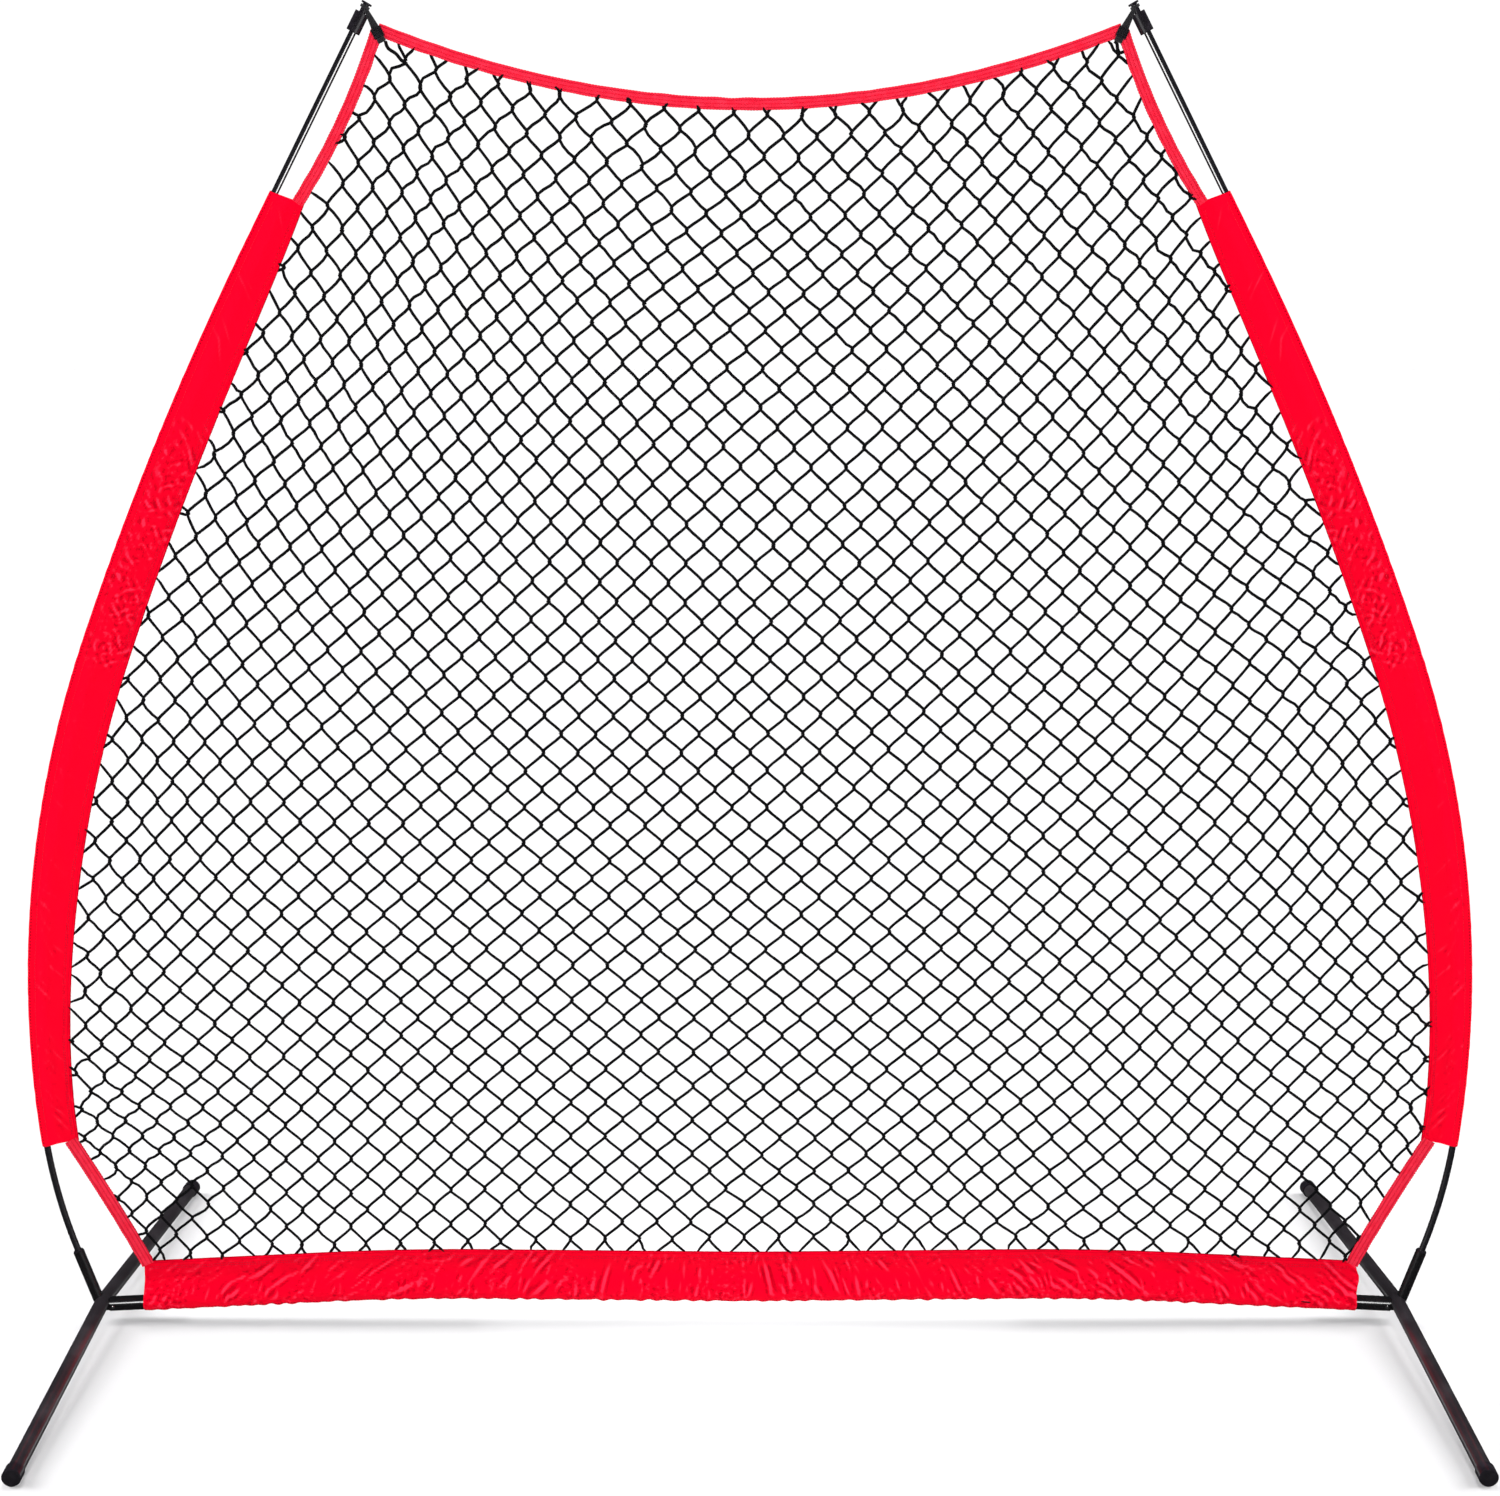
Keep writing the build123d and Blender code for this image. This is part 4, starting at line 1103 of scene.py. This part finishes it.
class Socket:
    """An output socket that can be used in arithmetic, and from which other nodes can be added."""

    def __init__(self, output):
        self.output = output

    def node(self, kind, settings=None, inputs=None, output=0):
        """Adds a node, sets its settings, then its inputs by name or number, and gives an output."""
        tree = self.output.id_data
        made = tree.nodes.new("ShaderNode" + kind)
        for name, value in (settings or {}).items():
            if name == "stops":
                ramp = made.color_ramp
                while len(ramp.elements) < len(value):
                    ramp.elements.new(0.5)
                for element, (place, colour) in zip(ramp.elements, value):
                    element.position = place
                    element.color = colour
            else:
                setattr(made, name, value)
        for name, value in (inputs or {}).items():
            if isinstance(value, Socket):
                tree.links.new(value.output, made.inputs[name])
            else:
                made.inputs[name].default_value = value
        return Socket(made.outputs[output])

    def sum(self, operation, first, second, third=0.0):
        """One Math node of two or three values."""
        return self.node("Math", {"operation": operation}, {0: first, 1: second, 2: third})

    def __add__(self, other):
        return self.sum("ADD", self, other)

    def __radd__(self, other):
        return self.sum("ADD", other, self)

    def __sub__(self, other):
        return self.sum("SUBTRACT", self, other)

    def __rsub__(self, other):
        return self.sum("SUBTRACT", other, self)

    def __mul__(self, other):
        return self.sum("MULTIPLY", self, other)

    def __rmul__(self, other):
        return self.sum("MULTIPLY", other, self)

    def sine(self):
        """The sine of a value in radians."""
        return self.sum("SINE", self, 0.0)

    def step(self, low, high):
        """An even S from 0 at low to 1 at high."""
        return self.node(
            "MapRange", {"interpolation_type": "SMOOTHSTEP"}, {0: self, 1: low, 2: high, 3: 0.0, 4: 1.0}
        )

    def line(self, place, half):
        """1 on a line at a place, and 0 beyond its half width."""
        return 1 - self.sum("ABSOLUTE", self - place, 0.0).step(0.3 * half, half)

    def noise(self, scale, detail=3.0, roughness=0.5):
        """Noise over a place, about 0.5."""
        return self.node(
            "TexNoise", {}, {"Vector": self, "Scale": scale, "Detail": detail, "Roughness": roughness}
        )

    def part(self, which):
        """One number of a place: 0 for x or u, 1 for y or v."""
        return self.node("SeparateXYZ", {}, {0: self}, which)

    def stretched(self, x, y, z):
        """A place with its axes scaled."""
        return self.node("Mapping", {}, {"Vector": self, "Scale": (x, y, z)})

    def dye(self, low, high):
        """A colour between two colours at this share."""
        return self.node(
            "Mix", {"data_type": "RGBA"}, {0: self, 6: (*low, 1.0), 7: (*high, 1.0)}, 2
        )

    def blend(self, share, colour):
        """This colour, turned to another by a share."""
        return self.node(
            "Mix", {"data_type": "RGBA", "clamp_factor": True}, {0: share, 6: self, 7: (*colour, 1.0)}, 2
        )


def finish(name, constants):
    """A new material: its shader with fixed values on its own sockets, and its two coordinates."""
    material = bpy.data.materials.new(name)
    material.use_nodes = True
    tree = material.node_tree
    shader = tree.nodes["Principled BSDF"]
    for socket, value in constants.items():
        shader.inputs[socket].default_value = value
    place = tree.nodes.new("ShaderNodeTexCoord")
    return material, shader, Socket(place.outputs["Object"]), Socket(place.outputs["UV"])


def mark(shader, name):
    """A number that the mesh carries under this name."""
    tree = shader.id_data
    found = tree.nodes.new("ShaderNodeAttribute")
    found.attribute_name = name
    return Socket(found.outputs["Fac"])


def feed(shader, **links):
    """Links varying values to the shader: colour, roughness, metallic or normal."""
    sockets = {"colour": "Base Color", "roughness": "Roughness", "metallic": "Metallic", "normal": "Normal"}
    for name, value in links.items():
        shader.id_data.links.new(value.output, shader.inputs[sockets[name]])


def bumped(height, strength, distance):
    """A normal from a height."""
    return height.node("Bump", {}, {"Height": height, "Strength": strength, "Distance": distance})


def wear(material, *names):
    """Gives every CAD node in names this finish."""
    for name in names:
        piece = nodes[name]
        piece.data.materials.clear()
        piece.data.materials.append(material)


def both_sides(*names):
    """left_ and right_ names."""
    return [f"{side}_{name}" for side in ("left", "right") for name in names]


print("node helpers ready")

# %% [markdown]
# ### Paint, resin and plastic
# The feet and crossbar are sprayed steel: almost black, glossy, with the faint orange peel of spray
# paint and a little dust. The poles are pulled through a die, so their resin has fine lengthwise
# lines. Caps and sliders are moulded and have an even, finer grain.

# %% Black finishes
spray, shader, place, _ = finish("sprayed_steel", {"Coat Weight": 0.6, "Coat Roughness": 0.05, "IOR": 1.5})
peel = place.noise(420.0, 2.0)
dust = place.noise(9.0, 5.0, 0.6).step(0.52, 0.80)
feed(
    shader,
    colour=(dust * 0.5).dye((0.0060, 0.0055, 0.0065), (0.022, 0.020, 0.023)),
    roughness=0.24 + 0.16 * dust,
    normal=bumped(peel, 0.10, 0.0006),
)
wear(spray, *both_sides("crossbar_stub", "outer_crossbar", "inner_crossbar", "pole_socket"))
wear(spray, "middle_spigot", *both_sides("quarter_spigot"))

leg_paint, shader, place, _ = finish("leg_paint", {"Coat Weight": 0.5, "Coat Roughness": 0.14})
peel = place.noise(380.0, 2.0)
dust = place.noise(14.0, 6.0, 0.65).step(0.40, 0.85)
scuff = place.stretched(1.0, 0.16, 1.0).noise(160.0, 4.0, 0.6).step(0.66, 0.80)
feed(
    shader,
    colour=(0.65 * dust + 0.30 * scuff).dye((0.017, 0.014, 0.017), (0.060, 0.054, 0.061)),
    roughness=0.34 + 0.18 * dust,
    normal=bumped(peel - 0.4 * scuff, 0.14, 0.0006),
)
wear(leg_paint, *both_sides("foot_tube"))

resin, shader, place, _ = finish("pole_resin", {"Coat Weight": 0.7, "Coat Roughness": 0.07})
lines = place.stretched(6.0, 6.0, 0.25).noise(330.0, 2.0)
clouds = place.noise(30.0, 3.0)
feed(
    shader,
    colour=(0.6 * clouds + 0.3 * lines).dye((0.0045, 0.0045, 0.0060), (0.014, 0.013, 0.017)),
    roughness=0.22 + 0.10 * clouds,
    normal=bumped(lines, 0.02, 0.0003),
)
wear(resin, *both_sides(*[f"pole_section_{i}" for i in range(1, 5)]))

cap_plastic, shader, place, _ = finish("cap_plastic", {"Coat Weight": 0.0, "IOR": 1.52})
grain = place.noise(1500.0, 2.0)
rub = place.noise(60.0, 4.0).step(0.50, 0.78)
feed(
    shader,
    colour=rub.dye((0.0095, 0.0080, 0.0110), (0.024, 0.020, 0.027)),
    roughness=0.30 + 0.14 * rub,
    normal=bumped(grain, 0.12, 0.0003),
)
wear(cap_plastic, *both_sides("front_foot_cap", "rear_foot_cap", "tip_cap", "socket_bush", "strap_slider"))

# %% [markdown]
# ### Bare metal and hidden elastic
# The snap buttons are polished steel and catch the light as a bright dot. The springs, ferrules and
# shock cords stay inside the tubes and sleeves, and get their finish too.

# %% Steel and cord
steel, shader, place, _ = finish("bright_steel", {"Metallic": 1.0})
turned = place.noise(900.0, 2.0)
feed(
    shader,
    colour=turned.dye((0.60, 0.60, 0.62), (0.78, 0.78, 0.80)),
    roughness=0.16 + 0.12 * turned,
    normal=bumped(turned, 0.05, 0.0002),
)
for pieces in springs.values():
    for piece in pieces.values():
        piece.data.materials.append(steel)
wear(steel, *both_sides("snap_button", "pole_ferrule_1", "pole_ferrule_2", "pole_ferrule_3"))

elastic, shader, place, _ = finish("shock_cord", {"Roughness": 0.8, "Sheen Weight": 0.2})
braid = place.noise(700.0, 2.0).step(0.35, 0.65)
feed(
    shader,
    colour=braid.dye((0.012, 0.012, 0.013), (0.045, 0.045, 0.048)),
    normal=bumped(braid, 0.4, 0.0005),
)
wear(elastic, "crossbar_shock_cord", *both_sides("pole_shock_cord"))

# %% [markdown]
# ### Red nylon
# The sleeves are thin coated nylon. Its weave is too fine to see, but every wrinkle has a paler
# ridge and a deeper valley, so a painted highlight on each ridge and painted shade in each valley
# follow the height that the mesh carries, and crumpled cloth gets darker, mottled painted shade.
# Painted shade darkens the cloth within a millimetre or two of the rim, where it turns round, and a
# row of painted shadow ticks lies about 5 mm in from the rim. The cloth is also darker along the
# sewn hem.

# %% Sleeve cloth
nylon, shader, place, cloth = finish(
    "red_nylon", {"Sheen Weight": 0.0, "IOR": 1.45, "Specular IOR Level": 0.03}
)
fold, from_rim, from_seam, crumple = (mark(shader, n) for n in ("fold", "from_rim", "from_seam", "crumple"))
fine = cloth.noise(420.0, 3.0, 0.6)
grain = cloth.stretched(1.0, 2.0, 1.0).noise(95.0, 4.0, 0.6)
u, v = cloth.part(0), cloth.part(1)
weave = (u * 12566.0).sine() * (v * 12566.0).sine()
mottled = crumple * cloth.noise(15.0, 2.0).step(0.36, 0.60)
crepe = cloth.stretched(1.0, 0.7, 1.0).noise(150.0, 3.0, 0.55)
# Painted light and shade of the wrinkles: the relief's height, plus mottled patches where the cloth is
# crumpled.
wrinkle_light = fold * 1.25 + 0.16 * (grain - 0.5) + 2.3 * mottled * (crepe - 0.5) + 0.10 * (fine - 0.5)
# Painted shade in the valleys and a painted highlight on the ridges.
valley_shade = 1 - wrinkle_light.step(-0.50, -0.06)
ridge_highlight = wrinkle_light.step(0.05, 0.60)
# Painted shadow: a row of dark ticks on the round, about 5 mm in from the rim.
rim_shadow_ticks = (0.9 + 1.1 * (v * 1290.0).sine()) * from_rim.line(0.0046, 0.0017) * (0.4 + 0.6 * cloth.noise(30.0))
# Painted shade where the cloth turns round the rim, plus darker lines along the sewn hem.
rim_shade_and_seam_lines = (1 - from_rim.step(0.0004, 0.0022)) + (1 - from_seam.step(0.0003, 0.0014)) + 1.1 * rim_shadow_ticks
rim_shade_and_seam_lines = rim_shade_and_seam_lines + 0.45 * from_seam.line(0.0032, 0.0016)
# Crumpled cloth is painted darker: painted shade of its crinkles.
feed(
    shader,
    colour=(crumple * 0.5).dye((1.0, 0.0, 0.0195), (0.82, 0.0, 0.0175))
    .blend(ridge_highlight, (1.0, 0.024, 0.068))
    .blend(0.85 * valley_shade, (0.52, 0.0, 0.010))
    .blend(rim_shade_and_seam_lines * 0.62, (0.25, 0.0, 0.006)),
    roughness=0.42 + 0.16 * grain,
    normal=bumped(grain + 0.25 * fine + 0.03 * weave, 0.22, 0.0012),
)
for piece in (*side_sleeves.values(), bottom_sleeve):
    piece.data.materials.append(nylon)

# %% [markdown]
# ### Webbing, elastic and twine
# Webbing has ribs along it, darker lines where it is sewn, and a dull edge. The net's twine is two
# plies twisted together: a sine of turns around plus turns along draws the twist as a helix.

# %% Woven tape and thread
webbing, shader, place, cloth = finish(
    "red_webbing", {"Sheen Weight": 0.05, "Sheen Roughness": 0.4, "Specular IOR Level": 0.12}
)
across = mark(shader, "across")
v = cloth.part(1)
ribs = (across * 62.0).sine()
weft = (v * 4200.0).sine()
uneven = cloth.stretched(1.0, 0.22, 1.0).noise(420.0, 3.0)
patchy = cloth.noise(60.0, 3.0).step(0.35, 0.75)
sewn = across.line(0.62, 0.16) + across.line(-0.62, 0.16) + 0.5 * across.line(-0.05, 0.10)
rim = (across * across).step(0.72, 0.98)
feed(
    shader,
    colour=(0.30 + 0.35 * patchy + 0.9 * (uneven - 0.5)).dye((0.87, 0.005, 0.030), (0.96, 0.045, 0.092))
    .blend(0.60 * sewn, (0.56, 0.0, 0.016))
    .blend(0.45 * rim, (0.60, 0.0, 0.016)),
    roughness=0.55 + 0.15 * uneven,
    normal=bumped(0.5 * ribs + 0.25 * weft + uneven, 0.30, 0.0005),
)
for piece in tapes:
    piece.data.materials.append(webbing)

thread_red, shader, place, _ = finish("red_thread", {"Roughness": 0.6, "Specular IOR Level": 0.15})
strands = place.noise(2600.0, 2.0)
feed(
    shader,
    colour=strands.dye((0.50, 0.0, 0.014), (0.86, 0.004, 0.034)),
    normal=bumped(strands, 0.4, 0.0002),
)
stitches.data.materials.append(thread_red)

strap_web, shader, place, cloth = finish("strap_elastic", {"Sheen Weight": 0.2})
u, v = cloth.part(0), cloth.part(1)
ribs = (u * 6300.0).sine() * (v * 5200.0).sine()
feed(
    shader,
    colour=(0.5 + 0.5 * ribs).dye((0.006, 0.006, 0.007), (0.030, 0.029, 0.032)),
    roughness=0.62 + 0.10 * place.noise(300.0),
    normal=bumped(ribs, 0.4, 0.0005),
)
for piece in (*straps.values(), *collars.values()):
    piece.data.materials.append(strap_web)

twine, shader, place, cloth = finish("black_twine", {"Sheen Weight": 0.02, "Specular IOR Level": 0.22})
u, v = cloth.part(0), cloth.part(1)
plies = (u * (4 * math.pi) + v * (2 * math.pi / 0.0045)).sine()
fuzz = place.noise(1400.0, 3.0)
feed(
    shader,
    colour=(0.30 + 0.3 * plies + 0.4 * fuzz).dye((0.0016, 0.0016, 0.0020), (0.0070, 0.0070, 0.0085)),
    roughness=0.50 + 0.2 * fuzz,
    normal=bumped(plies + 0.4 * fuzz, 0.5, 0.0006),
)
for piece in (*twines, *laces):
    piece.data.materials.append(twine)
print(len(bpy.data.materials), "materials in the file")

# %% [markdown]
# ## Floor, light and camera
# The net stands on a plain pale floor under a pale sky. The floor has lamps of its own: a soft sun
# from each side draws that side's foot shadow inward, and a high one from behind lays a grey band
# under the bottom sleeve, which a small lamp washes out in the middle. The cloth has a sun from each
# side and a large soft box in front. Black gloss shows nothing but what it mirrors, so each group of
# tubes has its own box, placed where a mirror on the tube would show it: it draws one crisp white
# line and lights nothing else. Light linking keeps each lamp on its pieces.

# %% Floor
size = 40.0
corners = np.array([[-size, -size, 0], [size, -size, 0], [size, size, 0], [-size, size, 0]], float)
floor_mesh = bpy.data.meshes.new("floor")
floor_mesh.from_pydata(corners.tolist(), [], [(0, 1, 2, 3)])
floor = bpy.data.objects.new("floor", floor_mesh)
bpy.context.scene.collection.objects.link(floor)
floor_paint, shader, place, _ = finish("pale_floor", {"Roughness": 0.95, "Specular IOR Level": 0.0})
shader.inputs["Base Color"].default_value = (0.680, 0.676, 0.686, 1.0)
floor.data.materials.append(floor_paint)
floor.visible_glossy = False

# %% Sky
world = bpy.data.worlds.new("pale_sky")
bpy.context.scene.world = world
world.use_nodes = True
tree = world.node_tree
sky = tree.nodes["Background"]
sky.inputs["Color"].default_value = (1.0, 1.0, 1.0, 1.0)
path = tree.nodes.new("ShaderNodeLightPath")
seen, mirrored = (Socket(path.outputs[name]) for name in ("Is Camera Ray", "Is Glossy Ray"))
tree.links.new((0.14 + 0.92 * seen - 0.11 * mirrored).output, sky.inputs["Strength"])

# %% Lamps


def collected(name, pieces):
    """A collection of these pieces."""
    made = bpy.data.collections.new(name)
    for piece in pieces:
        made.objects.link(piece)
    return made


def lamp(name, kind, energy, place, aim, only=(), never=(), shade=(), **settings):
    """A lamp at a place, aimed at another. It lights only some pieces, or all but some, and only
    the pieces of shade hold it back."""
    light = bpy.data.lights.new(name, kind)
    light.energy = energy
    for setting, value in settings.items():
        setattr(light, setting, value)
    made = bpy.data.objects.new(name, light)
    made.location = place
    made.rotation_euler = (Vector(aim) - Vector(place)).to_track_quat("-Z", "Y").to_euler()
    bpy.context.scene.collection.objects.link(made)
    if only or never:
        lit = collected(f"{name}_lights", (*only, *never))
        made.light_linking.receiver_collection = lit
        if never:
            for member in lit.collection_objects:
                member.light_linking.link_state = "EXCLUDE"
    if shade:
        made.light_linking.blocker_collection = collected(f"{name}_shade", shade)
    return made


def sun(name, energy, place, degrees, **linked):
    """A lamp so far off that only its direction counts: from a place to the origin, this wide."""
    return lamp(name, "SUN", energy, place, (0, 0, 0), angle=math.radians(degrees), **linked)


def soft_box(name, energy, place, aim, size, **linked):
    """A rectangle of light with this width and height."""
    wide, high = size
    return lamp(name, "AREA", energy, place, aim, shape="RECTANGLE", size=wide, size_y=high, **linked)


def group(side, *names):
    """The CAD nodes of one side by name."""
    return [nodes[f"{side}_{name}"] for name in names]


foot_parts = ("foot_tube", "front_foot_cap", "rear_foot_cap")
feet = {
    side: group(side, *foot_parts, "pole_socket", "crossbar_stub", "outer_crossbar") for side, _ in hands
}
matt = [
    sun("high_sun", 1.3, (0.0, 1.0, 2.4), 16, never=[floor]),
    soft_box("front_box", 95.0, (0.0, -3.6, 2.2), (0, 0, 0.9), (3.2, 1.6), never=[floor]),
    sun(
        "floor_rear_sun", 1.08, (0.0, 0.58, 2.2), 22, only=[floor],
        shade=[bottom_sleeve, *feet["left"], *feet["right"]],
    ),
    lamp(
        "floor_middle_box", "AREA", 0.60, (0.0, -0.05, 0.44), (0, -0.05, 0), only=[floor], shade=[floor],
        shape="DISK", size=0.12,
    ),
]
for side, sign in hands:
    own = feet[side]
    matt += [
        sun(f"{side}_sun", 2.75, (sign * 2.56, -0.10, 2.0), 10, never=[floor]),
        sun(
            f"floor_{side}_high_sun", 0.88, (sign * 1.9, -0.10, 2.4), 16, only=[floor], shade=own[:-1]
        ),
        sun(f"floor_{side}_low_sun", 1.95, (sign * 2.9, 0.55, 1.8), 24, only=[floor], shade=own),
    ]
for light in matt:
    light.visible_glossy = False
    light.visible_camera = False
for side, sign in hands:
    poles = group(side, *[f"pole_section_{i}" for i in range(1, 5)], "pole_socket")
    heads = group(side, "tip_cap", "strap_slider")
    bars = group(side, "outer_crossbar", "crossbar_stub", "snap_button")
    foot = group(side, *foot_parts)
    across_net, upper_pole = (-sign * 0.69, -1.12, 1.06), (sign * 0.78, 0, 1.8)
    gloss = [
        soft_box(f"{side}_pole_box", 76.0, across_net, upper_pole, (0.9, 1.4), only=poles),
        soft_box(f"{side}_head_box", 9.0, across_net, upper_pole, (0.9, 1.4), only=heads),
        soft_box(
            f"{side}_bar_box", 26.0, (sign * 1.77, -2.55, 1.38), (sign * 0.93, 0, 0.03), (0.5, 0.9),
            only=bars,
        ),
        soft_box(
            f"{side}_leg_box", 1.3, (sign * -0.12, 0.76, -0.40), (sign * 1.0, -0.25, 0.02), (1.2, 0.10),
            only=foot, shade=foot,
        ),
    ]
    for light in gloss:
        light.visible_diffuse = False
        light.visible_camera = False

# %% Camera
view = bpy.data.cameras.new("camera")
view.sensor_width = 36.0
view.sensor_fit = "HORIZONTAL"
view.lens = 48.74
view.clip_end = 200.0
camera = bpy.data.objects.new("camera", view)
camera.location = (0.0, -2.850, 1.536)
camera.rotation_euler = (math.radians(77.4), 0.0, 0.0)
bpy.context.scene.collection.objects.link(camera)
bpy.context.scene.camera = camera
bpy.context.scene.view_settings.view_transform = "Standard"
bpy.context.scene.view_settings.look = "None"
print("camera", tuple(round(x, 3) for x in camera.location))

# %% [markdown]
# ## Last update
# The dressed net has to stay the size of the frame. The last cell brings the view layer up to date.

# %% Update the view layer
bpy.context.view_layer.update()
